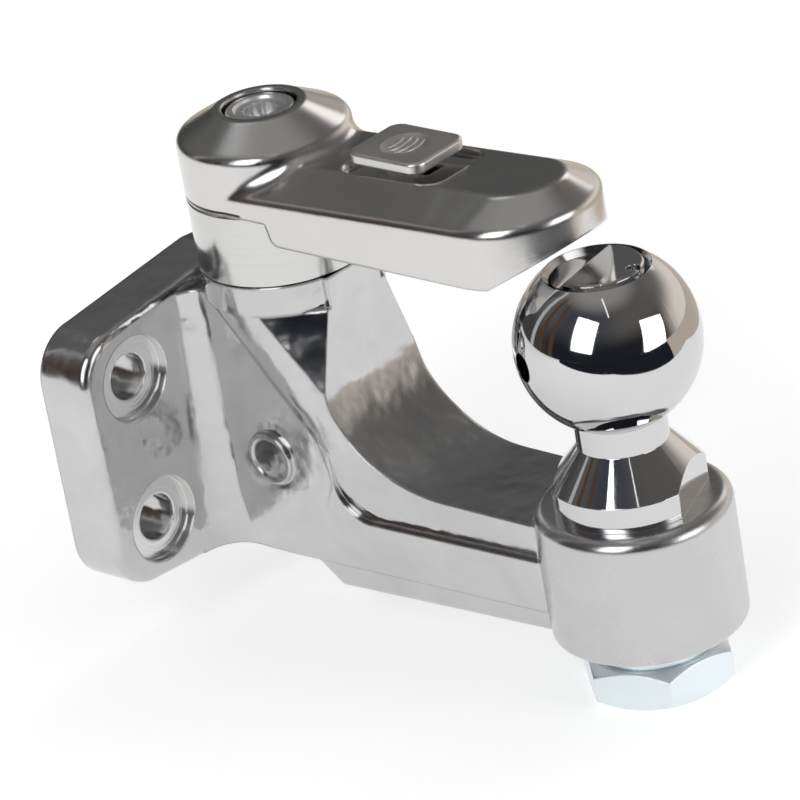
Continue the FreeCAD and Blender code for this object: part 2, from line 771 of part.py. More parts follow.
def pivot_rings():
    ring("pivot_washer", S["screw_shoulder_radius"] + S["fit"], S["screw_head_radius"] + 0.4,
         S["pivot_washer_thick"], pivot_x, washer_bottom)
    ring("thrust_washer", S["thrust_washer_inner"], S["thrust_washer_outer"], S["thrust_washer_thick"],
         pivot_x, collar_top)


def pivot_bush():
    inner = S["spigot_radius"] + S["running_gap"]
    height = S["spigot_height"] - S["swing_gap"]
    sleeve = turned("bush_sleeve", [
        (inner, ZERO), (bush_outer, ZERO), (bush_outer, height), (inner, height),
    ], pivot_x, hub_bottom)
    window = cylinder("bush_window", S["nose_radius"] + S["swing_gap"], S["hub_radius"], pivot_x, ZERO,
                      S["plunger_axis_z"], ALONG_X)
    node("pivot_bush", cut("bush_cut", sleeve, window))


# The latch arm: a hub, and a bevelled beam that closes the throat above the ball.

def arm_plan(name, half, end_centre, z, slope_degrees):
    """One plan outline of the beam, on a plane that climbs towards the tip."""
    sketch = doc.addObject("Sketcher::SketchObject", name)
    draw(sketch, [(ZERO, -half), (end_centre, -half), (end_centre, half), (ZERO, half)],
         {1: (end_centre, ZERO, "u", True)})
    climb = FreeCAD.Rotation(FreeCAD.Vector(0, 1, 0), -slope_degrees)
    sketch.Placement = FreeCAD.Placement(FreeCAD.Vector(pivot_x.value, 0, z.value), climb)
    return sketch


def arm_beam():
    shoulder_z = S["arm_bottom_z"] + S["arm_shoulder_height"] - 1.0
    slope = S["arm_slope_degrees"].value
    sections = [
        arm_plan("arm_plan_bottom", arm_half, S["arm_end_centre"], S["arm_bottom_z"], 0.0),
        arm_plan("arm_plan_shoulder", arm_half, S["arm_end_centre"], shoulder_z, slope),
        arm_plan("arm_plan_deck", S["deck_half"], S["deck_end_centre"], shoulder_z + S["arm_bevel_height"],
                 slope),
    ]
    beam = doc.addObject("Part::Loft", "arm_beam")
    beam.Sections = sections
    beam.Solid = True
    beam.Ruled = True
    start = pivot_x.value
    low = S["arm_bottom_z"].value

    def long_edge(edge):
        bounds = edge.BoundBox
        return bounds.ZMax > low + 8 and bounds.ZLength < 6 and bounds.XMax > start + 10 and (
            bounds.XLength > 10)

    return round_edges("arm_beam_rounded", beam, S["arm_edge"], long_edge)


def deck_point(distance, lift=0.0):
    """A point on the deck, measured along it from the pivot axis."""
    slope = math.radians(S["arm_slope_degrees"].value)
    z = (S["arm_bottom_z"] + S["arm_shoulder_height"] - 1.0 + S["arm_bevel_height"]).value
    return FreeCAD.Vector(
        pivot_x.value + distance * math.cos(slope) - lift * math.sin(slope), 0,
        z + distance * math.sin(slope) + lift * math.cos(slope))


def slide_pocket():
    """The shallow pocket in the deck in which the thumb slide runs."""
    slope = S["arm_slope_degrees"].value
    pocket = doc.addObject("Part::Box", "slide_pocket")
    bind(pocket, Length=S["slide_pocket_length"], Width=S["slide_pocket_half"] * 2,
         Height=S["slide_pocket_depth"] + 8)
    corner = deck_point((slide_mid_x - pivot_x - S["slide_length"] / 2 - 3.2).value,
                        -S["slide_pocket_depth"].value)
    corner.y = -S["slide_pocket_half"].value
    pocket.Placement = FreeCAD.Placement(corner, FreeCAD.Rotation(FreeCAD.Vector(0, 1, 0), -slope))

    def upright(edge):
        return edge.BoundBox.ZLength > 8

    return round_edges("slide_pocket_rounded", pocket, S["slide_pocket_corner"], upright)


def cover_span():
    return cavity_start_x - S["cover_start_margin"], cavity_end_x + S["cover_end_margin"]


def cover_screw_spots():
    start, end = cover_span()
    inset = S["cover_screw_head"] + 1.2
    across = S["cover_half"] - S["cover_screw_head"] - 1.2
    for x in (start + inset, end - inset):
        for side_sign in (-1, 1):
            yield x, across * side_sign


def latch_arm():
    beam = arm_beam()
    side = S["hub_side_height"]
    dome_top = side + S["hub_dome_height"]
    hub = turned("hub_whole", [
        (ZERO, ZERO), (S["hub_radius"], ZERO), (S["hub_radius"], side), (S["hub_top_radius"], dome_top),
        (ZERO, dome_top),
    ], pivot_x, hub_bottom, way=FreeCAD.Rotation(FreeCAD.Vector(0, 0, 1), 180))
    hub = round_edges("hub_rounded", hub, S["hub_rim"], at_height(hub_top))
    hub = round_edges("hub_brow", hub, S["arm_edge"], at_height(hub_side_top))
    low = S["arm_bottom_z"]
    deck_low = (low + S["arm_shoulder_height"]).value - 2.0
    wide = S["hub_radius"] + 10
    throat_start = pivot_x + S["arm_throat_start"]
    round_off = S["arm_throat_round"]
    rear_gap = slab("arm_rear_gap", "XZ_Plane", wide, [
        (pivot_x - wide, low - 2), (throat_start, low - 2),
        (throat_start, low), (throat_start - round_off, low + round_off),
        (throat_start - round_off - 0.9, hub_bottom), (pivot_x - wide, hub_bottom),
    ], {2: (throat_start, low + round_off, "u", False)})
    undercut_x = pivot_x + S["arm_undercut_start"]
    rise = math.tan(math.radians(S["arm_undercut_degrees"].value))
    run = arm_half * 2
    undercut = slab("arm_undercut", "XZ_Plane", wide, [
        (undercut_x - 2, low - 2 * rise), (undercut_x + run, low - 2 * rise),
        (undercut_x + run, low + run * rise),
    ])
    beam = cut("arm_beam_shaped", beam, rear_gap, undercut)
    arm = fuse("arm_and_hub", beam, hub)
    hub_wall = S["hub_radius"].value

    def hub_corner(edge):
        spot = middle(edge)
        off = math.hypot(spot.x - pivot_x.value, spot.y)
        return abs(off - hub_wall) < 0.3 and edge.BoundBox.ZMin > deck_low and (
            edge.BoundBox.XMin > pivot_x.value + 8 and edge.BoundBox.YLength > 0.5)

    arm = round_edges("hub_blended", arm, S["hub_blend"], hub_corner)
    arm = cut("arm_pocketed", arm, slide_pocket())
    slope = math.tan(math.radians(S["arm_slope_degrees"].value))
    deck_z = deck_point(0.0).z

    def pocket_rim(edge):
        spot = middle(edge)
        return abs(spot.z - deck_z - (spot.x - pivot_x.value) * slope) < 0.05 and (
            edge.BoundBox.XMin > slide_mid_x.value - 18 and edge.BoundBox.XMax < slide_mid_x.value + 22
            and edge.BoundBox.ZLength < 2)

    arm = round_edges("arm_pocket_rounded", arm, S["slide_pocket_rim"], pocket_rim)

    axis_z = S["plunger_axis_z"]
    recess_radius = S["screw_head_radius"] + S["screw_head_gap"]
    bore_radius = S["plunger_radius"] + 0.1
    start, end = cover_span()
    stem_half = S["slide_stem_half"] + 0.3
    stem_back = stem_mid_x - S["slide_stem_length"] / 2 - 0.5
    stem_front = stem_mid_x + S["slide_stem_length"] / 2 + S["slide_travel"] + 0.5
    tools = [
        cylinder("collar_room", S["hub_radius"] + S["swing_gap"], hub_bottom - low + 2, pivot_x, ZERO,
                 low - 2),
        cylinder("bush_seat", bush_outer, S["spigot_height"] - S["swing_gap"] + 1.3, pivot_x, ZERO,
                 hub_bottom - 1),
        cylinder("thrust_room", S["thrust_washer_outer"] + 0.3, S["thrust_washer_thick"] + 1, pivot_x, ZERO,
                 collar_top + S["running_gap"] - 1),
        cylinder("shoulder_bore", S["screw_shoulder_radius"] + S["running_gap"], as_size(20), pivot_x, ZERO,
                 spigot_top - 1),
        cylinder("head_recess", recess_radius, S["hub_recess_depth"] + 2, pivot_x, ZERO, hub_recess_floor),
        cylinder("nose_bore", S["nose_radius"] + S["running_gap"], shoulder_x - pivot_x, pivot_x, ZERO, axis_z,
                 ALONG_X),
        cylinder("plunger_bore", bore_radius, cavity_end_x - cavity_start_x, cavity_start_x, ZERO, axis_z,
                 ALONG_X),
        box("plunger_well", cavity_start_x, cavity_end_x, -bore_radius, bore_radius, low - 1, axis_z),
        box("cover_seat", start - S["cover_seat_lead"], end, -S["cover_half"] - 0.1, S["cover_half"] + 0.1, low - 1,
            low + S["cover_thick"]),
        box("stem_slot", stem_back, stem_front, -stem_half, stem_half, axis_z, hub_top),
    ]
    for number, (x, y) in enumerate(cover_screw_spots()):
        tools.append(cylinder(f"cover_tap_{number}", S["cover_screw_radius"] + S["fit"],
                              S["cover_screw_length"], x, y, low + S["cover_thick"] - 1))
    node("latch_arm", cut("arm_bored", arm, *tools))


def arm_cover_plate():
    """The plate under the arm that closes the plunger's well and carries its underside."""
    start, end = cover_span()
    low = S["arm_bottom_z"]
    gap = 0.15
    flat = box("cover_flat", start + gap, end - gap, -S["cover_half"], S["cover_half"], low,
               low + S["cover_thick"])
    rail_top = S["plunger_axis_z"] - S["plunger_radius"] - S["running_gap"]
    rail_half = S["plunger_radius"] - 0.1
    rail = box("cover_rail", cavity_start_x + gap, shoulder_end_x, -rail_half, rail_half, low, rail_top)
    plate_solid = fuse("cover_whole", flat, rail)
    tools = []
    for number, (x, y) in enumerate(cover_screw_spots()):
        tools.append(cylinder(f"cover_hole_{number}", S["cover_screw_radius"] + 0.1, S["cover_thick"] + 2, x, y,
                              low - 1))
        sink = doc.addObject("Part::Cone", f"cover_sink_{number}")
        bind(sink, Radius1=S["cover_screw_head"] + 0.1, Radius2=S["cover_screw_radius"] + 0.1,
             Height=S["cover_screw_sink"])
        bind_place(sink, x, y, low)
        tools.append(sink)
    node("arm_cover_plate", cut("cover_drilled", plate_solid, *tools))


def cover_screws():
    low = S["arm_bottom_z"]
    screws = []
    for number, (x, y) in enumerate(cover_screw_spots()):
        head = doc.addObject("Part::Cone", f"cover_screw_head_{number}")
        bind(head, Radius1=S["cover_screw_head"], Radius2=S["cover_screw_radius"], Height=S["cover_screw_sink"])
        bind_place(head, x, y, low)
        shank = cylinder(f"cover_screw_shank_{number}", S["cover_screw_radius"],
                         S["cover_screw_length"] - S["cover_screw_sink"], x, y, low + S["cover_screw_sink"])
        key = hexagon(f"cover_screw_key_{number}", 2.0, as_size(1.2), x, low - 0.2, 0)
        key.setExpression("Placement.Base.y", as_size(y).text)
        whole = fuse(f"cover_screw_whole_{number}", head, shank)
        screws.append(cut(f"cover_screw_{number}", whole, key))
    group = doc.addObject("Part::Compound", "cover_screw_set")
    group.Links = screws
    node("cover_screws", group)


# The thumb slide, the plunger that it pulls back, and the pin that joins them.

def slide_bottom_z():
    """The lowest height at which the level cap clears the climbing deck over its travel."""
    reach = (slide_mid_x - pivot_x + S["slide_length"] / 2 + S["slide_travel"]).value
    slope = math.radians(S["arm_slope_degrees"].value)
    climb = as_size(reach * math.tan(slope))
    return S["arm_bottom_z"] + S["arm_shoulder_height"] - 1.0 + S["arm_bevel_height"] + climb + (
        S["slide_rise"])


def thumb_slide():
    low = slide_bottom_z()
    half_length = S["slide_length"] / 2
    half = S["slide_half"]
    cap = box("slide_cap", slide_mid_x - half_length, slide_mid_x + half_length, -half, half, low,
              low + S["slide_thick"])

    def upright(edge):
        return edge.BoundBox.ZLength > 1

    cap = round_edges("slide_cap_corners", cap, S["slide_corner"], upright)
    cap = round_edges("slide_cap_rounded", cap, S["slide_edge"], at_height(low + S["slide_thick"]))
    cap = round_edges("slide_cap_under", cap, S["slide_edge"], at_height(low))
    grip = S["slide_grip_radius"]
    depth = S["slide_grip_depth"]
    sphere_radius = (grip.value ** 2 + depth.value ** 2) / (2 * depth.value)
    scoop = doc.addObject("Part::Sphere", "slide_scoop")
    scoop.Radius = sphere_radius
    bind_place(scoop, slide_mid_x, ZERO, low + S["slide_thick"] - depth + sphere_radius)
    cap = cut("slide_cap_scooped", cap, scoop)
    stem_half = S["slide_stem_length"] / 2
    stem_low = S["plunger_axis_z"] - S["plunger_pin_radius"] - 1.2
    stem = box("slide_stem", stem_mid_x - stem_half, stem_mid_x + stem_half, -S["slide_stem_half"],
               S["slide_stem_half"], stem_low, low + 1)
    whole = fuse("slide_whole", cap, stem)
    hole = cylinder("slide_pin_hole", S["plunger_pin_radius"] + S["fit"] / 2, S["plunger_radius"] * 4, stem_mid_x,
                    -S["plunger_radius"] * 2, S["plunger_axis_z"], ALONG_Y)
    node("thumb_slide", cut("slide_drilled", whole, hole))


def lock_plunger():
    nose = S["nose_radius"]
    radius = S["plunger_radius"]
    tail = S["plunger_tail_radius"]
    shoulder = S["nose_length"]
    back = shoulder + S["plunger_length"]
    end = back + S["plunger_tail_length"]
    bar = turned("plunger_bar", [
        (ZERO, ZERO), (nose - 0.6, ZERO), (nose, as_size(0.6)), (nose, shoulder), (radius, shoulder),
        (radius, back), (tail, back), (tail, end), (ZERO, end),
    ], nose_tip_x, S["plunger_axis_z"], way=ALONG_X)
    slot_half = S["slide_stem_length"] / 2 + 0.1
    stem_low = S["plunger_axis_z"] - S["plunger_pin_radius"] - 1.2 - 0.1
    slot = box("plunger_slot", stem_mid_x - slot_half, stem_mid_x + slot_half, -S["slide_stem_half"] - 0.1,
               S["slide_stem_half"] + 0.1, stem_low, S["plunger_axis_z"] + radius + 1)
    hole = cylinder("plunger_pin_hole", S["plunger_pin_radius"] + S["fit"] / 2, radius * 4, stem_mid_x,
                    -radius * 2, S["plunger_axis_z"], ALONG_Y)
    node("lock_plunger", cut("plunger_cut", bar, slot, hole))


def plunger_pin():
    half = S["plunger_radius"] - 0.4
    node("plunger_pin", cylinder("plunger_cross_pin", S["plunger_pin_radius"], half * 2, stem_mid_x, -half,
                                 S["plunger_axis_z"], ALONG_Y))


def coil(length, radius, wire, turns):
    """A compression spring of six-sided wire. It starts at the middle of its first coil's wire."""
    pitch = (length - wire) / turns
    helix = Part.makeHelix(pitch, pitch * turns, radius)
    corners = []
    for i in range(7):
        turn = math.radians(60 * i)
        corners.append(FreeCAD.Vector(radius + wire / 2 * math.cos(turn), 0, wire / 2 * math.sin(turn)))
    return Part.Wire(helix).makePipeShell([Part.makePolygon(corners)], True, True)


def plunger_spring():
    length = S["spring_space"] - S["spring_gap"] * 2
    spring = coil(length.value, S["spring_radius"].value, S["spring_wire"].value, 7)
    feature = solid_feature("plunger_coil", spring)
    feature.Placement = FreeCAD.Placement(FreeCAD.Vector(), ALONG_X)
    start = shoulder_end_x + S["spring_gap"] + S["spring_wire"] / 2
    bind_place(feature, start, ZERO, S["plunger_axis_z"])
    node("plunger_spring", feature)


# The ball, the shank that it slides on, and the sprung button that holds it.

def lock_way():
    """Turns a piece made along Z to point outwards through the ball's side hole."""
    turn = FreeCAD.Rotation(FreeCAD.Vector(0, 0, 1), S["lock_turn_degrees"].value)
    return turn.multiply(ALONG_X)


def lock_spot(distance):
    ahead = lock_way().multVec(FreeCAD.Vector(0, 0, 1))
    distance = as_size(distance)
    return ball_x + distance * ahead.x, distance * ahead.y, ball_z


def along_lock(name, radius, start, length):
    solid = cylinder(name, radius, length)
    solid.Placement = FreeCAD.Placement(FreeCAD.Vector(), lock_way())
    bind_place(solid, *lock_spot(start))
    return solid


def turned_box(name, x0, x1, half_y, z0, z1, degrees):
    """A box turned about the ball's axis. Its X sizes are measured from that axis."""
    solid = doc.addObject("Part::Box", name)
    bind(solid, Length=as_size(x1) - x0, Width=as_size(half_y) * 2, Height=as_size(z1) - z0)
    turn = FreeCAD.Rotation(FreeCAD.Vector(0, 0, 1), degrees)
    corner = turn.multVec(FreeCAD.Vector(as_size(x0).value, -as_size(half_y).value, 0))
    solid.Placement = FreeCAD.Placement(FreeCAD.Vector(), turn)
    bind_place(solid, ball_x + corner.x, as_size(corner.y), z0)
    return solid


def ball_shank():
    post = S["post_radius"]
    flange = S["flange_radius"]
    shank = S["shank_radius"]
    flange_low = S["boss_top_z"]
    flange_high = flange_low + S["flange_height"]
    end = nut_bottom + 0.7
    edge = S["shank_end_edge"]
    bar = turned("shank_bar", [
        (ZERO, end), (shank - edge, end), (shank, end + edge), (shank, flange_low), (flange, flange_low),
        (flange, flange_high), (post, S["cone_top_z"]), (post, post_top_z - 0.5), (post - 0.5, post_top_z),
        (ZERO, post_top_z),
    ], ball_x)
    half_flats = S["wrench_flats"] / 2
    tall = S["cone_top_z"] - flange_low
    wide = flange + 2
    turn = S["wrench_turn_degrees"].value
    flats = [
        turned_box("wrench_flat_front", half_flats, wide + 2, wide, flange_low - 0.001, flange_low + tall, turn),
        turned_box("wrench_flat_back", half_flats, wide + 2, wide, flange_low - 0.001, flange_low + tall,
                   turn + 180),
    ]
    bore = along_lock("button_bore", S["button_bore_radius"], post - S["button_bore_depth"],
                      S["button_bore_depth"] + 4)
    post_turn = S["post_turn_degrees"].value
    scoop = cylinder("post_scoop", S["post_scoop_radius"], post * 3)
    tip = FreeCAD.Rotation(FreeCAD.Vector(0, 0, 1), post_turn).multiply(
        FreeCAD.Rotation(FreeCAD.Vector(1, 0, 0), -90))
    start = tip.multVec(FreeCAD.Vector(0, 0, -1.5 * post.value))
    lean = S["post_scoop_radius"].value - S["post_scoop_depth"].value
    back = FreeCAD.Rotation(FreeCAD.Vector(0, 0, 1), post_turn).multVec(FreeCAD.Vector(-post.value * 0.72, 0, 0))
    scoop.Placement = FreeCAD.Placement(FreeCAD.Vector(), tip)
    bind_place(scoop, ball_x + (start.x + back.x), as_size(start.y + back.y), post_top_z + lean)
    keep = turned_box("post_scoop_side", -post - 2, -post * 0.24, post + 2, post_top_z - 6, post_top_z + 4,
                      post_turn)
    scoop = common("post_scoop_part", scoop, keep)
    notch_spot = FreeCAD.Rotation(FreeCAD.Vector(0, 0, 1), post_turn + 6).multVec(
        FreeCAD.Vector(post.value * 0.85, 0, 0))
    notch = cylinder("post_notch", S["post_notch_radius"], as_size(6), ball_x + notch_spot.x,
                     as_size(notch_spot.y), post_top_z - 3)
    node("ball_shank", cut("shank_cut", bar, *flats, bore, scoop, notch))


def ball():
    radius = S["ball_radius"]
    bore = S["post_radius"] + S["running_gap"]
    globe = bind(doc.addObject("Part::Sphere", "globe"), Radius=radius)
    bind_place(globe, ball_x, ZERO, ball_z)
    through = cylinder("ball_bore", bore, radius * 2, ball_x, ZERO, ball_z - radius)
    mouth = S["ball_mouth_radius"]
    mouth_z = math.sqrt(radius.value ** 2 - mouth.value ** 2)
    countersink = cone("ball_mouth", bore, mouth + 1.6, mouth + 1.6 - bore, ball_x,
                       ball_z + (mouth_z - (mouth.value - bore.value)))
    hole = along_lock("ball_lock_hole", S["lock_hole_radius"], ZERO, radius + 2)
    groove_depth = S["button_out"] + S["swing_gap"]
    relief_low = ball_z - S["ball_lift"] - S["lock_hole_radius"]
    relief = turned_box("ball_relief", ZERO, bore + groove_depth, S["lock_hole_radius"], relief_low, ball_z,
                        S["lock_turn_degrees"].value)
    node("ball", cut("ball_cut", globe, through, countersink, hole, relief))


def ball_lock_button():
    flange_front = retainer_back - S["fit"]
    flange_back = flange_front - S["button_flange_length"]
    length = S["button_out"] + S["post_radius"] - flange_back
    nose = S["button_nose_radius"]
    flange = S["button_flange_radius"]
    step = S["button_flange_length"]
    body = turned("button_turned", [
        (ZERO, ZERO), (flange, ZERO), (flange, step), (nose, step), (nose, length - 0.5),
        (nose - 0.5, length), (ZERO, length),
    ], way=lock_way())
    bind_place(body, *lock_spot(flange_back))
    node("ball_lock_button", body)


def button_retainer():
    inner = S["button_nose_radius"] + S["running_gap"]
    outer = S["button_bore_radius"] - 0.02
    length = S["retainer_length"]
    body = turned("retainer_ring", [(inner, ZERO), (outer, ZERO), (outer, length), (inner, length)],
                  way=lock_way())
    bind_place(body, *lock_spot(retainer_back))
    node("button_retainer", body)


def button_spring():
    bottom = S["post_radius"] - S["button_bore_depth"]
    top = retainer_back - S["fit"] - S["button_flange_length"]
    radius = (S["button_flange_radius"] - S["button_spring_wire"] / 2 - 0.3).value
    length = (top - bottom - S["spring_gap"] * 2).value
    feature = solid_feature("button_coil", coil(length, radius, S["button_spring_wire"].value, 6))
    feature.Placement = FreeCAD.Placement(FreeCAD.Vector(), lock_way())
    bind_place(feature, *lock_spot(bottom + S["spring_gap"] + S["button_spring_wire"] / 2))
    node("button_spring", feature)


def lock_washer():
    inner = S["shank_radius"] + 0.3
    outer = S["lock_washer_radius"]
    thick = S["lock_washer_thick"]
    washer = turned("split_ring", [
        (inner, ZERO), (outer - 0.4, ZERO), (outer, as_size(0.4)), (outer, thick - 0.4), (outer - 0.4, thick),
        (inner, thick),
    ], ball_x, nut_top)
    gap = turned_box("split_gap", ZERO, outer + 2, S["lock_washer_gap"] / 2, nut_top - 1, nut_top + thick + 1,
                     150)
    node("lock_washer", cut("split_washer", washer, gap))


def shank_nut():
    flats = S["nut_flats"]
    height = S["nut_height"]
    prism = hexagon("nut_prism", flats, height, ball_x, nut_bottom, S["nut_turn_degrees"].value)
    corner = flats / math.sqrt(3)
    drop = (corner - flats / 2) * 0.75
    rounding = turned("nut_rounding", [
        (ZERO, ZERO), (flats / 2 - 0.5, ZERO), (corner + 0.1, drop), (corner + 0.1, height - drop),
        (flats / 2 - 0.5, height), (ZERO, height),
    ], ball_x, nut_bottom)
    body = common("nut_form", prism, rounding)
    bore = cylinder("nut_bore", S["shank_radius"] + S["fit"], height + 2, ball_x, ZERO, nut_bottom - 1)
    node("shank_nut", cut("nut_bored", body, bore))


hook_casting()
pivot_collar()
collar_dowels()
pivot_bolt()
pivot_rings()
pivot_bush()
latch_arm()
arm_cover_plate()
cover_screws()
thumb_slide()
lock_plunger()
plunger_pin()
plunger_spring()
ball_shank()
ball()
ball_lock_button()
button_retainer()
button_spring()
lock_washer()
shank_nut()
doc.recompute()

for thing in doc.Objects:
    if "Invalid" in thing.State or "Error" in thing.State:
        raise RuntimeError(f"{thing.Name} failed: {thing.State}")
for solid in nodes:
    if solid.Shape.isNull() or not solid.Shape.isValid():
        raise RuntimeError(f"{solid.Label} has no valid shape")

os.makedirs("parts", exist_ok=True)
for solid in nodes:
    solid.Shape.exportStep(os.path.join("parts", solid.Label + ".step"))
    bounds = solid.Shape.BoundBox
    print(solid.Label, "solids", len(solid.Shape.Solids), "volume", round(solid.Shape.Volume, 1),
          "x", round(bounds.XMin, 1), round(bounds.XMax, 1), "y", round(bounds.YMin, 1), round(bounds.YMax, 1),
          "z", round(bounds.ZMin, 1), round(bounds.ZMax, 1))
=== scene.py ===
# %% [markdown]
# # A bolt-on pintle hook with a detachable ball
# The real hitch is one heavy forging that is ground and chromed, with a turned collar,
# a swinging latch arm, a mirror-bright ball on a post, and a zinc nut below. Every solid
# comes from the frame at its real size, so this lesson is mostly about metal finishes and
# about what the metal sees around it, because chrome has no look of its own.

# %% Load the frame
import json
import math
import bpy
import bmesh
from mathutils import Matrix, Vector


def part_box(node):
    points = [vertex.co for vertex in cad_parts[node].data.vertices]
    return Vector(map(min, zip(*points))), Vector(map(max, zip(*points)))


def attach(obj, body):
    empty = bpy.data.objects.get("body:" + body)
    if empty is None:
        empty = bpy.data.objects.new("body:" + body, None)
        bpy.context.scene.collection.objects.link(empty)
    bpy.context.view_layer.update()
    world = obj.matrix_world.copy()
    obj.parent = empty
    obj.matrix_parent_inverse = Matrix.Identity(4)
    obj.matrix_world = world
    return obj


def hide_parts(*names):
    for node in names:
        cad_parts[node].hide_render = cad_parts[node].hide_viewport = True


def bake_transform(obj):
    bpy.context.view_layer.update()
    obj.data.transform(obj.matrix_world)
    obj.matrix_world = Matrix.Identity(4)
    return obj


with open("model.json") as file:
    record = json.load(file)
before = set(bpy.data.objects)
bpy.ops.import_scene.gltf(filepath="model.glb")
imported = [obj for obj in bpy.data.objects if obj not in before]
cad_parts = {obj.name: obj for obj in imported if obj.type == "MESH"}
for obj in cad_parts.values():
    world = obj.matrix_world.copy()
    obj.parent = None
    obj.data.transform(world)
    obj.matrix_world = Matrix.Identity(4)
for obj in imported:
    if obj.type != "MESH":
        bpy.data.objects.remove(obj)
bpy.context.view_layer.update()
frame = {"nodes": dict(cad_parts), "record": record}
nodes = frame["nodes"]
print("nodes:", len(nodes))

# %% [markdown]
# ## The camera
# The photograph was taken from about 45 degrees round and 26 degrees up with a long lens,
# tipped a little to one side. A long lens keeps the sides of the plate almost parallel.
# The three directions of the camera are set as the columns of its matrix, which gives the
# tip directly and needs no aiming helper.

# %% Place the camera
CAMERA_PLACE = Vector((0.9445, -0.8557, 0.5950))
CAMERA_RIGHT = Vector((0.7451, 0.6480, -0.1580))
CAMERA_UP = Vector((-0.1816, 0.4251, 0.8868))
CAMERA_BACK = Vector((0.6418, -0.6320, 0.4344))
LENS_MM = 220.05

camera_data = bpy.data.cameras.new("camera")
camera_data.lens = LENS_MM
camera_data.sensor_width = 36.0
camera_data.clip_end = 50.0
camera = bpy.data.objects.new("camera", camera_data)
bpy.context.scene.collection.objects.link(camera)
turn = Matrix((CAMERA_RIGHT, CAMERA_UP, CAMERA_BACK)).transposed()
camera.matrix_world = Matrix.Translation(CAMERA_PLACE) @ turn.to_4x4()
bpy.context.scene.camera = camera
bpy.context.scene.view_settings.view_transform = "Standard"
print("lens:", LENS_MM, "mm")

# %% [markdown]
# ## Where the round pieces stand
# Turned finishes run in rings about an axis. The collar and the hub share the pivot axis,
# and the ball, its post, the boss and the nut share the other. Both are read from the
# frame, so they are right even if the hitch is made longer.

# %% Find the two axes
def middle_of(node):
    low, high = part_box(node)
    return (Vector(low) + Vector(high)) / 2


PIVOT_X = middle_of("pivot_collar").x
BALL_X = middle_of("ball").x
BALL_MIDDLE = Vector((BALL_X, 0.0, middle_of("ball_lock_button").z))
FLOOR_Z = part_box("shank_nut")[0][2]
SEAMS_Z = [corner[2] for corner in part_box("pivot_collar")]
HUB_SEAM_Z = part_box("thrust_washer")[1][2]
print("pivot axis x", round(PIVOT_X, 4), "ball axis x", round(BALL_X, 4))

# %% [markdown]
# ## Helpers for materials
# Each finish is a small network: a pattern on Object coordinates, a bump made from it and
# a roughness that changes over the surface. Object coordinates are used because they need
# no UV map, and because the pattern then rides with a moving piece.

# %% Material helpers
def join(tree, source, target):
    tree.links.new(source, target)


def put(tree, kind, **settings):
    """Adds a node and sets its properties and, by name, its sockets."""
    node = tree.nodes.new(kind)
    for name, value in settings.items():
        label = name.replace("_", " ").title()
        if label in node.inputs:
            node.inputs[label].default_value = value
        else:
            setattr(node, name, value)
    return node


def sum_of(tree, kind, first, second):
    """A math node whose two inputs may be numbers or outputs."""
    node = put(tree, "ShaderNodeMath", operation=kind)
    for socket, value in zip(node.inputs, (first, second)):
        if isinstance(value, (int, float)):
            socket.default_value = value
        else:
            join(tree, value, socket)
    return node.outputs[0]


def spread(tree, value, low, high, to_low, to_high):
    """Maps one range of values onto another, smoothly and clamped."""
    node = put(tree, "ShaderNodeMapRange", interpolation_type="SMOOTHSTEP")
    join(tree, value, node.inputs["Value"])
    for label, number in (("From Min", low), ("From Max", high), ("To Min", to_low), ("To Max", to_high)):
        if isinstance(number, (int, float)):
            node.inputs[label].default_value = number
        else:
            join(tree, number, node.inputs[label])
    return node.outputs["Result"]


def object_parts(tree):
    """The node with the x, y and z of a place, and the coordinate node that feeds it."""
    place = put(tree, "ShaderNodeTexCoord")
    parts = put(tree, "ShaderNodeSeparateXYZ")
    join(tree, place.outputs["Object"], parts.inputs[0])
    return parts, place


def length_of(tree, first, second):
    """The length of a flat vector given by its two parts."""
    squares = sum_of(tree, "ADD", sum_of(tree, "MULTIPLY", first, first),
                     sum_of(tree, "MULTIPLY", second, second))
    return sum_of(tree, "SQRT", squares, 0.0)


def from_axis(tree, parts, centre_x):
    """The distance from an upright axis in the plane of symmetry."""
    across = sum_of(tree, "SUBTRACT", parts.outputs["X"], centre_x)
    return length_of(tree, across, parts.outputs["Y"])


def new_group(name, inputs, outputs):
    tree = bpy.data.node_groups.new(name, "ShaderNodeTree")
    for label, number in inputs.items():
        socket = tree.interface.new_socket(label, in_out="INPUT", socket_type="NodeSocketFloat")
        socket.default_value = number
    for label in outputs:
        tree.interface.new_socket(label, in_out="OUTPUT", socket_type="NodeSocketFloat")
    return tree, tree.nodes.new("NodeGroupInput"), tree.nodes.new("NodeGroupOutput")


def use_group(tree, group, **values):
    node = tree.nodes.new("ShaderNodeGroup")
    node.node_tree = group
    for label, value in values.items():
        node.inputs[label.replace("_", " ").capitalize()].default_value = value
    return node


print("material helpers ready")

# %% [markdown]
# ## Turned rings
# A lathe tool leaves fine rings: lines of equal height on a side wall, circles on a flat
# face. The upright part of the normal says which of the two a place is, so one noise in
# one dimension is given the height on walls and the distance from the axis on flats.

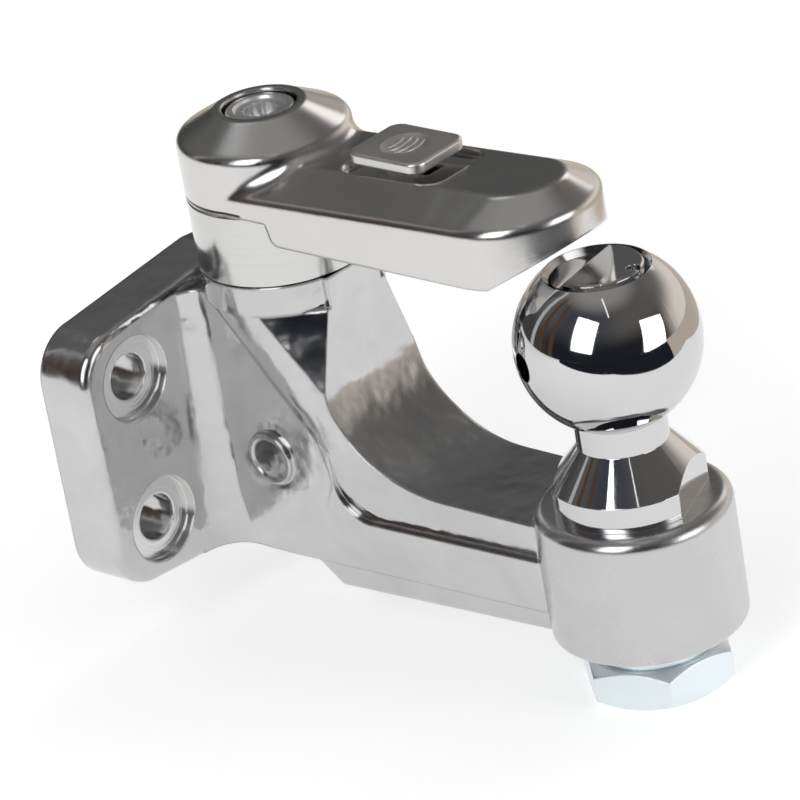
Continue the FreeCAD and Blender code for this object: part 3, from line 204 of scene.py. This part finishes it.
# %% Group: turned rings
def make_turned_rings():
    tree, given, result = new_group(
        "Turned rings", {"Centre x": 0.0, "Fineness": 4000.0}, ["Height", "Band"])
    parts, place = object_parts(tree)
    radius = from_axis(tree, parts, given.outputs["Centre x"])
    facing = put(tree, "ShaderNodeSeparateXYZ")
    join(tree, place.outputs["Normal"], facing.inputs[0])
    flat = sum_of(tree, "GREATER_THAN", sum_of(tree, "ABSOLUTE", facing.outputs["Z"], 0.0), 0.8)
    wall = sum_of(tree, "SUBTRACT", 1.0, flat)
    along = sum_of(tree, "ADD", sum_of(tree, "MULTIPLY", radius, flat),
                   sum_of(tree, "MULTIPLY", parts.outputs["Z"], wall))
    step = sum_of(tree, "MULTIPLY", along, given.outputs["Fineness"])
    fine = put(tree, "ShaderNodeTexNoise", noise_dimensions="1D", scale=1.0, detail=2.0, roughness=0.6)
    join(tree, step, fine.inputs["W"])
    wide = put(tree, "ShaderNodeTexNoise", noise_dimensions="1D", scale=0.12, detail=1.0)
    join(tree, step, wide.inputs["W"])
    join(tree, fine.outputs["Fac"], result.inputs["Height"])
    join(tree, wide.outputs["Fac"], result.inputs["Band"])
    return tree


turned_rings = make_turned_rings()
print("group:", turned_rings.name)

# %% [markdown]
# ## Machined bolt seats
# The four seats in the plate are cut by a piloted tool after forging, so each is brighter
# than the ground plate and has rings about its own bolt. Taking the absolute value of y
# and z folds the four seats onto one, so a single distance serves them all.

# %% Group: bolt seats
PATTERN = [mount for mount in frame["record"]["mounts"] if mount["name"] == "bolts"][0]["dims"]
BOLT_Y = PATTERN["spacing_x_mm"] / 2000
BOLT_Z = PATTERN["spacing_y_mm"] / 2000


def make_bolt_seats():
    tree, given, result = new_group("Bolt seats", {"Reach": 0.0125, "Front": 0.0135}, ["Height", "Mask"])
    parts, place = object_parts(tree)
    aside = sum_of(tree, "SUBTRACT", sum_of(tree, "ABSOLUTE", parts.outputs["Y"], 0.0), BOLT_Y)
    above = sum_of(tree, "SUBTRACT", sum_of(tree, "ABSOLUTE", parts.outputs["Z"], 0.0), BOLT_Z)
    away = length_of(tree, aside, above)
    fine = put(tree, "ShaderNodeTexNoise", noise_dimensions="1D", scale=1500.0, detail=2.0, roughness=0.6)
    join(tree, away, fine.inputs["W"])
    near = sum_of(tree, "LESS_THAN", away, given.outputs["Reach"])
    front = sum_of(tree, "GREATER_THAN", parts.outputs["X"], given.outputs["Front"])
    join(tree, fine.outputs["Fac"], result.inputs["Height"])
    join(tree, sum_of(tree, "MULTIPLY", near, front), result.inputs["Mask"])
    return tree


bolt_seats = make_bolt_seats()
print("group:", bolt_seats.name, "at", BOLT_Y, BOLT_Z)

# %% [markdown]
# ## Ground forging
# A forging is ground by hand before it is plated. The chrome covers the grinding but keeps
# its long soft waves and the shallow pits of the scale. Two noises of different size make
# the height, and a third gives patches where the chrome is a little duller.

# %% Group: ground forging
def make_ground_forging():
    tree, given, result = new_group(
        "Ground forging", {"Wave size": 70.0, "Pit size": 900.0, "Pit depth": 0.25}, ["Height", "Patches"])
    place = put(tree, "ShaderNodeTexCoord")
    waves = put(tree, "ShaderNodeTexNoise", detail=2.0, roughness=0.45)
    pits = put(tree, "ShaderNodeTexNoise", detail=3.0, roughness=0.65)
    patches = put(tree, "ShaderNodeTexNoise", scale=38.0, detail=3.0, roughness=0.6)
    for noise in (waves, pits, patches):
        join(tree, place.outputs["Object"], noise.inputs["Vector"])
    join(tree, given.outputs["Wave size"], waves.inputs["Scale"])
    join(tree, given.outputs["Pit size"], pits.inputs["Scale"])
    height = sum_of(tree, "ADD", waves.outputs["Fac"],
                    sum_of(tree, "MULTIPLY", pits.outputs["Fac"], given.outputs["Pit depth"]))
    join(tree, height, result.inputs["Height"])
    join(tree, patches.outputs["Fac"], result.inputs["Patches"])
    return tree


ground_forging = make_ground_forging()
print("group:", ground_forging.name)

# %% [markdown]
# ## Handling marks
# Polished metal that has been handled is never evenly clear. Soft smears change how sharp
# the reflections are, and fine scratches run mostly one way. The smears are a stretched
# noise, and the scratches are a second noise squeezed until only thin lines are left.

# %% Group: handling marks
def make_handling_marks():
    tree, given, result = new_group("Handling marks", {"Smear size": 30.0}, ["Smears", "Scratches"])
    place = put(tree, "ShaderNodeTexCoord")
    smears = put(tree, "ShaderNodeTexNoise", detail=4.0, roughness=0.6, distortion=0.8)
    join(tree, place.outputs["Object"], smears.inputs["Vector"])
    join(tree, given.outputs["Smear size"], smears.inputs["Scale"])
    squeeze = put(tree, "ShaderNodeMapping")
    squeeze.inputs["Scale"].default_value = (60.0, 2600.0, 2600.0)
    squeeze.inputs["Rotation"].default_value = (0.2, 0.15, 0.3)
    join(tree, place.outputs["Object"], squeeze.inputs["Vector"])
    lines = put(tree, "ShaderNodeTexNoise", scale=1.0, detail=1.0)
    join(tree, squeeze.outputs["Vector"], lines.inputs["Vector"])
    join(tree, smears.outputs["Fac"], result.inputs["Smears"])
    join(tree, spread(tree, lines.outputs["Fac"], 0.62, 0.75, 0.0, 1.0), result.inputs["Scratches"])
    return tree


handling_marks = make_handling_marks()
print("group:", handling_marks.name)

# %% [markdown]
# ## One way to start every metal
# All the finishes here are bare or plated metal, so they share a start: full metallic, a
# soft edge from the Bevel shading node, because no ground or turned edge is truly sharp,
# and a bump on top of it. The height and the roughness are left to each finish.

# %% Start a metal
def start_metal(name, colour, edge_mm):
    material = bpy.data.materials.new(name)
    material.use_nodes = True
    tree = material.node_tree
    shader = tree.nodes["Principled BSDF"]
    shader.inputs["Metallic"].default_value = 1.0
    shader.inputs["Base Color"].default_value = (*colour, 1.0)
    edge = put(tree, "ShaderNodeBevel", samples=6)
    edge.inputs["Radius"].default_value = edge_mm / 1000
    bump = put(tree, "ShaderNodeBump")
    join(tree, edge.outputs["Normal"], bump.inputs["Normal"])
    join(tree, bump.outputs["Normal"], shader.inputs["Normal"])
    return material, tree, shader, bump


def set_bump(bump, depth_mm, strength=1.0):
    bump.inputs["Distance"].default_value = depth_mm / 1000
    bump.inputs["Strength"].default_value = strength


def blend(tree, mask, first, second):
    """Mixes two colours, each a value or an output, by a mask from nought to one."""
    mix = put(tree, "ShaderNodeMix", data_type="RGBA")
    colour_sockets = [socket for socket in mix.inputs if socket.type == "RGBA"]
    for socket, colour in zip(colour_sockets, (first, second)):
        if isinstance(colour, tuple):
            socket.default_value = (*colour[:3], 1.0)
        else:
            join(tree, colour, socket)
    join(tree, mask, mix.inputs["Factor"])
    return [socket for socket in mix.outputs if socket.type == "RGBA"][0]


def tint(tree, shader, mask, dark, light):
    """Lets the colour drift a little between two values of the same metal."""
    join(tree, blend(tree, mask, dark, light), shader.inputs["Base Color"])


print("metal starter ready")

# %% [markdown]
# ## Chrome on the forging
# The web and the plate are softly mirrored and mottled. The round boss below the ball is
# turned after forging and shows fine level rings, so a mask by distance from the ball's
# axis changes the finish there inside one material.

# %% Finish: chromed forging
def seam_mask(tree, height_z, levels, half=0.00028):
    """One in a thin band about each level, where two parts meet."""
    total = 0.0
    for level in levels:
        away = sum_of(tree, "ABSOLUTE", sum_of(tree, "SUBTRACT", height_z, level), 0.0)
        total = sum_of(tree, "ADD", spread(tree, away, half, half * 1.8, 1.0, 0.0), total)
    return total


def distance_mask(tree, parts, centre_x, radius, soft=0.0006):
    """One inside a distance from an upright axis, nought outside it."""
    return spread(tree, from_axis(tree, parts, centre_x), radius, radius + soft, 1.0, 0.0)


BOSS_REACH = 0.0274


def chromed_forging():
    material, tree, shader, bump = start_metal("hook_chrome", (0.72, 0.72, 0.73), 1.1)
    forging = use_group(tree, ground_forging, Wave_size=85.0, Pit_size=900.0, Pit_depth=0.03)
    seats = use_group(tree, bolt_seats)
    rings = use_group(tree, turned_rings, Centre_x=BALL_X, Fineness=5200.0)
    marks = use_group(tree, handling_marks, Smear_size=45.0)
    parts, place = object_parts(tree)
    boss = distance_mask(tree, parts, BALL_X, BOSS_REACH)
    cut = seats.outputs["Mask"]
    rest = sum_of(tree, "SUBTRACT", sum_of(tree, "SUBTRACT", 1.0, boss), cut)
    height = sum_of(tree, "MULTIPLY", forging.outputs["Height"], rest)
    for pattern, mask, share in ((rings, boss, 0.008), (seats, cut, 0.07)):
        part = sum_of(tree, "MULTIPLY", pattern.outputs["Height"], sum_of(tree, "MULTIPLY", mask, share))
        height = sum_of(tree, "ADD", height, part)
    join(tree, height, bump.inputs["Height"])
    set_bump(bump, 0.8)
    ground = spread(tree, forging.outputs["Patches"], 0.3, 0.7, 0.07, 0.24)
    turned = spread(tree, marks.outputs["Smears"], 0.3, 0.7, 0.22, 0.30)
    rough = sum_of(tree, "MULTIPLY", ground, rest)
    rough = sum_of(tree, "ADD", rough, sum_of(tree, "MULTIPLY", turned, boss))
    rough = sum_of(tree, "ADD", rough, sum_of(tree, "MULTIPLY", cut, 0.22))
    join(tree, rough, shader.inputs["Roughness"])
    drift = blend(tree, marks.outputs["Smears"], (0.50, 0.50, 0.505), (0.64, 0.64, 0.64))
    drift = blend(tree, cut, drift, (0.74, 0.74, 0.735))
    join(tree, drift, shader.inputs["Base Color"])
    return material


# %% [markdown]
# ## Polished chrome on the arm
# The arm is finished finer than the hook: a belt is drawn along it, then it is buffed and
# plated. The belt leaves very fine lines along it, and the round hub has faint rings in
# their place.

# %% Finish: polished arm
HUB_REACH = 0.0260
# Near black, for a thin line drawn where two parts meet.
JOINT_DARK = (0.05, 0.048, 0.045)


def polished_arm():
    material, tree, shader, bump = start_metal("arm_chrome", (0.74, 0.73, 0.72), 1.3)
    marks = use_group(tree, handling_marks, Smear_size=28.0)
    rings = use_group(tree, turned_rings, Centre_x=PIVOT_X, Fineness=5200.0)
    parts, place = object_parts(tree)
    hub = distance_mask(tree, parts, PIVOT_X, HUB_REACH)
    drawn = put(tree, "ShaderNodeMapping")
    drawn.inputs["Scale"].default_value = (25.0, 1500.0, 1500.0)
    join(tree, place.outputs["Object"], drawn.inputs["Vector"])
    belt = put(tree, "ShaderNodeTexNoise", scale=1.0, detail=2.0)
    join(tree, drawn.outputs["Vector"], belt.inputs["Vector"])
    belt_part = sum_of(tree, "MULTIPLY", belt.outputs["Fac"], sum_of(tree, "SUBTRACT", 1.0, hub))
    ring_part = sum_of(tree, "MULTIPLY", rings.outputs["Height"], hub)
    join(tree, sum_of(tree, "ADD", belt_part, ring_part), bump.inputs["Height"])
    set_bump(bump, 0.006)
    join(tree, spread(tree, marks.outputs["Smears"], 0.3, 0.7, 0.13, 0.24), shader.inputs["Roughness"])
    drift = blend(tree, marks.outputs["Smears"], (0.60, 0.592, 0.58), (0.70, 0.692, 0.68))
    # A near-black line is drawn where the hub meets the washer.
    seam = sum_of(tree, "MULTIPLY", hub, seam_mask(tree, parts.outputs["Z"], [HUB_SEAM_Z]))
    join(tree, blend(tree, seam, drift, JOINT_DARK), shader.inputs["Base Color"])
    return material


# %% [markdown]
# ## Mirror chrome, turned steel and the rest
# The ball is polished until it reflects the room like a lens. The collar keeps its lathe
# rings. The slide is satin, which is the same finish with a higher roughness. Zinc is
# duller and bluer, with soft patches where the bath has left it thicker.

# %% Finish: mirror ball
def mirror_chrome():
    material, tree, shader, bump = start_metal("ball_chrome", (0.61, 0.61, 0.615), 0.35)
    marks = use_group(tree, handling_marks, Smear_size=35.0)
    rings = use_group(tree, turned_rings, Centre_x=BALL_X, Fineness=3000.0)
    join(tree, rings.outputs["Height"], bump.inputs["Height"])
    set_bump(bump, 0.0006)
    clear = spread(tree, marks.outputs["Smears"], 0.35, 0.75, 0.035, 0.085)
    rough = sum_of(tree, "ADD", clear, sum_of(tree, "MULTIPLY", marks.outputs["Scratches"], 0.06))
    join(tree, rough, shader.inputs["Roughness"])
    return material


# %% Finish: turned and satin steels
def turned_steel(name, colour, centre_x, fineness, depth_mm, low_rough, high_rough):
    material, tree, shader, bump = start_metal(name, colour, 0.4)
    marks = use_group(tree, handling_marks, Smear_size=40.0)
    rings = use_group(tree, turned_rings, Centre_x=centre_x, Fineness=fineness)
    join(tree, rings.outputs["Height"], bump.inputs["Height"])
    set_bump(bump, depth_mm)
    rough = spread(tree, marks.outputs["Smears"], 0.3, 0.7, low_rough, high_rough)
    join(tree, rough, shader.inputs["Roughness"])
    darker = tuple(part * 0.95 for part in colour)
    parts, place = object_parts(tree)
    # A near-black line is drawn at the levels of the collar's top and bottom.
    seam = seam_mask(tree, parts.outputs["Z"], SEAMS_Z)
    drift = blend(tree, rings.outputs["Band"], darker, colour)
    join(tree, blend(tree, seam, drift, JOINT_DARK), shader.inputs["Base Color"])
    return material


# %% Finish: bright zinc
def bright_zinc():
    material, tree, shader, bump = start_metal("zinc", (0.72, 0.76, 0.8), 0.7)
    forging = use_group(tree, ground_forging, Wave_size=260.0, Pit_size=2400.0, Pit_depth=0.4)
    join(tree, forging.outputs["Height"], bump.inputs["Height"])
    set_bump(bump, 0.03)
    join(tree, spread(tree, forging.outputs["Patches"], 0.3, 0.7, 0.26, 0.42), shader.inputs["Roughness"])
    tint(tree, shader, forging.outputs["Patches"], (0.74, 0.81, 0.84), (0.86, 0.92, 0.95))
    return material


# %% Give each node its finish
finishes = {
    "hook_chrome": chromed_forging(),
    "arm_chrome": polished_arm(),
    "ball_chrome": mirror_chrome(),
    "zinc": bright_zinc(),
}
for name, colour, fineness, depth_mm, low_rough, high_rough in (
    ("turned_steel", (0.64, 0.635, 0.625), 5200.0, 0.0025, 0.10, 0.19),
    ("slide_steel", (0.80, 0.79, 0.775), 2200.0, 0.003, 0.32, 0.42),
    ("bright_screw", (0.84, 0.85, 0.85), 5200.0, 0.003, 0.34, 0.46),
    ("hidden_steel", (0.55, 0.55, 0.55), 3000.0, 0.004, 0.3, 0.42),
    ("bush_bronze", (0.72, 0.55, 0.3), 3000.0, 0.004, 0.3, 0.42),
):
    finishes[name] = turned_steel(name, colour, PIVOT_X, fineness, depth_mm, low_rough, high_rough)
for subpart in frame["record"]["subparts"]:
    mesh = nodes[subpart["node"]].data
    mesh.materials.clear()
    mesh.materials.append(finishes[subpart["material_slot"]])
print("finishes:", len(finishes))

# %% [markdown]
# ## Grip ribs in the thumb hollow
# The slide's hollow has a few curved ribs that stop the thumb from slipping. Each is a
# short rod bent across the hollow. A rod is made by spinning a small ring of points part
# of the way round an upright axis, which bends it, and the ribs are the same rod repeated.

# %% Model the grip ribs
SLIDE_LOW, SLIDE_HIGH = (Vector(corner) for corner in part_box("thumb_slide"))
RIB_COUNT = 4
RIB_PITCH = 0.0023
RIB_RADIUS = 0.00045
RIB_BEND = 0.011
RIB_HALF_ANGLE = math.radians(27)
RIB_SINK = 0.00075


def bent_rod(ribs, centre):
    """Turns a small ring upright, swings it out to the bend and spins it part of the way round."""
    ring = bmesh.ops.create_circle(ribs, cap_ends=True, segments=10, radius=RIB_RADIUS)["verts"]
    start = Matrix.Rotation(-RIB_HALF_ANGLE, 4, "Z")
    outward = Matrix.Translation(Vector((RIB_BEND, 0.0, 0.0)))
    upright = Matrix.Rotation(math.pi / 2, 4, "X")
    bmesh.ops.transform(ribs, verts=ring, matrix=Matrix.Translation(centre) @ start @ outward @ upright)
    faces = list({face for vert in ring for face in vert.link_faces})
    edges = list({edge for vert in ring for edge in vert.link_edges})
    bmesh.ops.spin(ribs, geom=faces + ring + edges, cent=centre, axis=(0, 0, 1),
                   angle=2 * RIB_HALF_ANGLE, steps=16, use_merge=False)


def grip_ribs():
    ribs = bmesh.new()
    middle_x = (SLIDE_LOW.x + SLIDE_HIGH.x) / 2
    for number in range(RIB_COUNT):
        x = middle_x + (number - (RIB_COUNT - 1) / 2) * RIB_PITCH
        bent_rod(ribs, Vector((x - RIB_BEND, 0.0, SLIDE_HIGH.z - RIB_SINK)))
    bmesh.ops.remove_doubles(ribs, verts=ribs.verts, dist=0.000001)
    bmesh.ops.recalc_face_normals(ribs, faces=ribs.faces)
    mesh = bpy.data.meshes.new("grip_ribs")
    ribs.to_mesh(mesh)
    ribs.free()
    mesh.shade_smooth()
    piece = bpy.data.objects.new("grip_ribs", mesh)
    bpy.context.scene.collection.objects.link(piece)
    mesh.materials.append(finishes["slide_steel"])
    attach(piece, "lock_slide")
    return piece


print("grip ribs:", len(grip_ribs().data.polygons), "faces")

# %% [markdown]
# ## The springs
# Both springs sit between two bodies that slide on each other, so a stiff copy would cut
# through its neighbour when the lock is pulled or the button is pressed. Each is a merged
# copy of its own solid with smooth shading, and takes the place of that solid.

# %% Copy the springs
def live_spring(node, slot):
    coil = bmesh.new()
    coil.from_mesh(nodes[node].data)
    bmesh.ops.remove_doubles(coil, verts=coil.verts, dist=0.000001)
    for face in coil.faces:
        face.smooth = True
    mesh = bpy.data.meshes.new(node + "_coil")
    coil.to_mesh(mesh)
    coil.free()
    mesh.set_sharp_from_angle(angle=math.radians(35))
    mesh.materials.append(finishes[slot])
    piece = bpy.data.objects.new(node + "_coil", mesh)
    bpy.context.scene.collection.objects.link(piece)
    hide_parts(node)
    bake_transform(piece)


live_spring("plunger_spring", "hidden_steel")
live_spring("button_spring", "hidden_steel")

# %% [markdown]
# ## The room that the chrome sees
# A mirror ball shows its room: a pale floor below, a dark studio around the camera, a grey
# ceiling, a warm wall to the right and two square lamps. The floor and the dome are stage
# pieces. The dome is seen only in reflections, so the background stays white and the light
# stays plain.

# %% Floor
FLOOR_SIZE = 9.0
FLOOR_GLOW = 0.42


def seen_directly(tree):
    """One for rays from the camera, a mirror or clear glass, nought for those that only light."""
    rays = put(tree, "ShaderNodeLightPath")
    seen = sum_of(tree, "MAXIMUM", rays.outputs["Is Camera Ray"], rays.outputs["Is Glossy Ray"])
    return sum_of(tree, "MAXIMUM", seen, rays.outputs["Is Transmission Ray"])


def stage_floor():
    bpy.ops.mesh.primitive_plane_add(size=FLOOR_SIZE, location=(BALL_X / 2, 0.0, FLOOR_Z - 0.0003))
    floor = bpy.context.object
    floor.name = "floor"
    material = bpy.data.materials.new("pale_floor")
    material.use_nodes = True
    tree = material.node_tree
    shader = tree.nodes["Principled BSDF"]
    shader.inputs["Base Color"].default_value = (0.86, 0.86, 0.86, 1.0)
    shader.inputs["Roughness"].default_value = 0.9
    shader.inputs["Specular IOR Level"].default_value = 0.0
    seen = seen_directly(tree)
    shader.inputs["Emission Color"].default_value = (1.0, 1.0, 1.0, 1.0)
    join(tree, sum_of(tree, "MULTIPLY", seen, FLOOR_GLOW), shader.inputs["Emission Strength"])
    floor.data.materials.append(material)


stage_floor()
print("floor at z", round(FLOOR_Z, 4))

# %% Dome seen only in reflections
DOME_RADIUS = 3.4
DOME_SKIRT = 0.02
FAR_LOW = (0.068, 0.068, 0.069, 1.0)
FAR_HIGH = (0.142, 0.141, 0.140, 1.0)
RIGHT_LOW = (0.950, 0.870, 0.790, 1.0)
RIGHT_HIGH = (0.210, 0.193, 0.178, 1.0)
WINDOW = (1.500, 1.440, 1.380, 1.0)
BROWN = (0.110, 0.062, 0.034, 1.0)
RIGHT_WAY = (0.17, 0.98)
WINDOW_WAY = (-0.18, 0.84, 0.50)
BACK_PANE = (0.800, 0.820, 0.840, 1.0)
BACK_PANE_WAY = (-0.483, 0.129, 0.866)
PALE_BAR = (0.550, 0.550, 0.560, 1.0)
PANES = ((WINDOW_WAY, 0.970, 0.988, WINDOW), (BACK_PANE_WAY, 0.982, 0.992, BACK_PANE))
BARS = ((-122.0, BROWN), (-138.0, BROWN), (-151.0, PALE_BAR))
NEAR_LOW = (0.018, 0.020, 0.026, 1.0)
NEAR_HIGH_LEFT = (0.062, 0.067, 0.086, 1.0)
NEAR_HIGH_RIGHT = (0.130, 0.122, 0.114, 1.0)
OVERHEAD = (0.340, 0.330, 0.318, 1.0)


def lean(tree, parts, way):
    """How far a place on the dome lies towards a direction, from minus one to one."""
    total = 0.0
    for axis, share in zip("XYZ", way):
        part = sum_of(tree, "MULTIPLY", parts.outputs[axis], share / DOME_RADIUS)
        total = sum_of(tree, "ADD", part, total)
    return total


def dome_colours(tree):
    parts, place = object_parts(tree)
    rise = sum_of(tree, "DIVIDE", parts.outputs["Z"], DOME_RADIUS)
    climb = spread(tree, rise, 0.2, 0.6, 0.0, 1.0)
    near_side = spread(tree, lean(tree, parts, CAMERA_BACK.xy), -0.25, 0.35, 0.0, 1.0)
    rightward = spread(tree, lean(tree, parts, CAMERA_RIGHT.xy), -0.25, 0.45, 0.0, 1.0)
    right_side = spread(tree, lean(tree, parts, RIGHT_WAY), 0.55, 0.95, 0.0, 1.0)
    far_wall = blend(tree, climb, FAR_LOW, FAR_HIGH)
    near_high = blend(tree, rightward, NEAR_HIGH_LEFT, NEAR_HIGH_RIGHT)
    near_wall = blend(tree, climb, NEAR_LOW, near_high)
    walls = blend(tree, near_side, far_wall, near_wall)
    walls = blend(tree, right_side, walls, blend(tree, climb, RIGHT_LOW, RIGHT_HIGH))
    turn = sum_of(tree, "ARCTAN2", parts.outputs["Y"], parts.outputs["X"])
    for middle, colour in BARS:
        aside = sum_of(tree, "ABSOLUTE", sum_of(tree, "SUBTRACT", turn, math.radians(middle)), 0.0)
        walls = blend(tree, spread(tree, aside, 0.040, 0.055, 1.0, 0.0), walls, colour)
    whole = blend(tree, spread(tree, rise, 0.78, 0.97, 0.0, 1.0), walls, OVERHEAD)
    for way, outer, inner, colour in PANES:
        whole = blend(tree, spread(tree, lean(tree, parts, way), outer, inner, 0.0, 1.0), whole, colour)
    return whole


# %% Finish of a piece that is only reflected
def only_reflected(piece, colour, strength=1.0):
    """Gives a stage piece a plain glow, from a colour or a colour network, that only mirrors see."""
    material = bpy.data.materials.new(piece.name)
    material.use_nodes = True
    tree = material.node_tree
    tree.nodes.remove(tree.nodes["Principled BSDF"])
    glow = put(tree, "ShaderNodeEmission", strength=strength)
    if isinstance(colour, tuple):
        glow.inputs["Color"].default_value = colour
    else:
        join(tree, colour(tree), glow.inputs["Color"])
    join(tree, glow.outputs[0], tree.nodes["Material Output"].inputs["Surface"])
    piece.data.materials.append(material)
    piece.visible_camera = False
    piece.visible_diffuse = False
    piece.visible_shadow = False


def stage_dome():
    shell = bmesh.new()
    bmesh.ops.create_uvsphere(shell, u_segments=64, v_segments=32, radius=DOME_RADIUS)
    bmesh.ops.bisect_plane(shell, geom=list(shell.verts) + list(shell.edges) + list(shell.faces),
                           plane_co=(0, 0, -DOME_SKIRT), plane_no=(0, 0, -1), clear_outer=True)
    bmesh.ops.reverse_faces(shell, faces=shell.faces)
    mesh = bpy.data.meshes.new("studio_dome")
    shell.to_mesh(mesh)
    shell.free()
    mesh.shade_smooth()
    dome = bpy.data.objects.new("studio_dome", mesh)
    dome.location = (BALL_X, 0.0, FLOOR_Z)
    bpy.context.scene.collection.objects.link(dome)
    only_reflected(dome, dome_colours)


stage_dome()
print("dome radius", DOME_RADIUS)

# %% [markdown]
# ## Where the pale table ends
# On the ball the pale floor stops well below the level of the eye, so the table ended a
# short way to the front and to the right. Three sheets just above the floor take its place
# from there on, one dark and two warm. They show in reflections only, so the ground stays
# white for the camera. A thin tube lamp overhead gives the white line on the ball and post.

# %% Ground sheets and the tube lamp
FRONT_EDGE = BALL_X + 0.235
RIGHT_EDGE = 0.30
FAR_EDGE = 3.3
DARK_GROUND = (0.016, 0.018, 0.024, 1.0)
WARM_GROUND = (0.620, 0.540, 0.460, 1.0)
TUBE_ENDS = ((0.190, -0.195, 0.962), (0.502, -0.415, 0.759))
TUBE_WIDTH = 0.022
TUBE_GLOW = 1.6
TUBE_COLOUR = (1.0, 1.0, 0.97, 1.0)
LAMP_DISTANCE = 2.0


def stage_sheet(name, corners, colour, strength=1.0):
    mesh = bpy.data.meshes.new(name)
    mesh.from_pydata([tuple(corner) for corner in corners], [], [tuple(range(len(corners)))])
    sheet = bpy.data.objects.new(name, mesh)
    bpy.context.scene.collection.objects.link(sheet)
    only_reflected(sheet, colour, strength)


def ground_sheet(name, corners, colour):
    stage_sheet(name, [(x, y, FLOOR_Z + 0.0005) for x, y in corners], colour)


ground_sheet("front_ground", [(FRONT_EDGE, 0.13), (FRONT_EDGE, -0.25), (-0.26, -1.23), (-1.0, -FAR_EDGE),
                              (DOME_RADIUS, -FAR_EDGE), (DOME_RADIUS, 1.4)], DARK_GROUND)
ground_sheet("corner_ground", [(FRONT_EDGE, 0.13), (DOME_RADIUS, 1.4), (DOME_RADIUS, FAR_EDGE),
                               (FRONT_EDGE, FAR_EDGE)], WARM_GROUND)
ground_sheet("right_ground", [(-3.2, RIGHT_EDGE), (FRONT_EDGE, RIGHT_EDGE), (FRONT_EDGE, FAR_EDGE),
                              (-3.2, FAR_EDGE)], WARM_GROUND)
tube_ends = [BALL_MIDDLE + Vector(way) * LAMP_DISTANCE for way in TUBE_ENDS]
tube_side = (tube_ends[1] - tube_ends[0]).cross(tube_ends[0] - BALL_MIDDLE).normalized() * TUBE_WIDTH
stage_sheet("tube_lamp", [tube_ends[0] - tube_side, tube_ends[0] + tube_side,
                          tube_ends[1] + tube_side, tube_ends[1] - tube_side],
            TUBE_COLOUR, TUBE_GLOW)
print("table ends at x", round(FRONT_EDGE, 3), "and y", RIGHT_EDGE)

# %% [markdown]
# ## The lamps
# Two square lamps stand on either side of the camera. Their places are worked back from
# the two bright squares on the ball: a mirror ball turns a small offset from its middle
# into twice that turn of the view. A third, wide and weak lamp overhead fills the shadows
# and isn't mirrored, because the photograph shows no such square.

# %% Lamps
def square_lamp(name, direction, width, height, watts, roll=0.0, mirrored=True):
    data = bpy.data.lights.new(name, "AREA")
    data.shape = "RECTANGLE"
    data.size = width
    data.size_y = height
    data.energy = watts
    lamp = bpy.data.objects.new(name, data)
    lamp.location = BALL_MIDDLE + Vector(direction).normalized() * LAMP_DISTANCE
    aim = (lamp.location - BALL_MIDDLE).to_track_quat("Z", "Y").to_matrix()
    lamp.rotation_euler = (aim @ Matrix.Rotation(math.radians(roll), 3, "Z")).to_euler()
    lamp.visible_camera = False
    lamp.visible_glossy = mirrored
    bpy.context.scene.collection.objects.link(lamp)


square_lamp("left_lamp", (0.166, -0.856, 0.490), 0.95, 1.40, 14.0, roll=-8.0)
square_lamp("right_lamp", (0.965, 0.200, 0.190), 1.10, 1.30, 12.0, roll=-19.0)
square_lamp("top_lamp", (0.02, 0.64, 0.77), 1.5, 1.2, 6.0, mirrored=False)

# %% World
WORLD_LIGHT = 0.45
world = bpy.data.worlds.new("studio")
bpy.context.scene.world = world
world.use_nodes = True
world_tree = world.node_tree
background = world_tree.nodes["Background"]
background.inputs["Color"].default_value = (1.0, 1.0, 1.0, 1.0)
strength = spread(world_tree, seen_directly(world_tree), 0.0, 1.0, WORLD_LIGHT, 1.0)
join(world_tree, strength, background.inputs["Strength"])
print("world set")
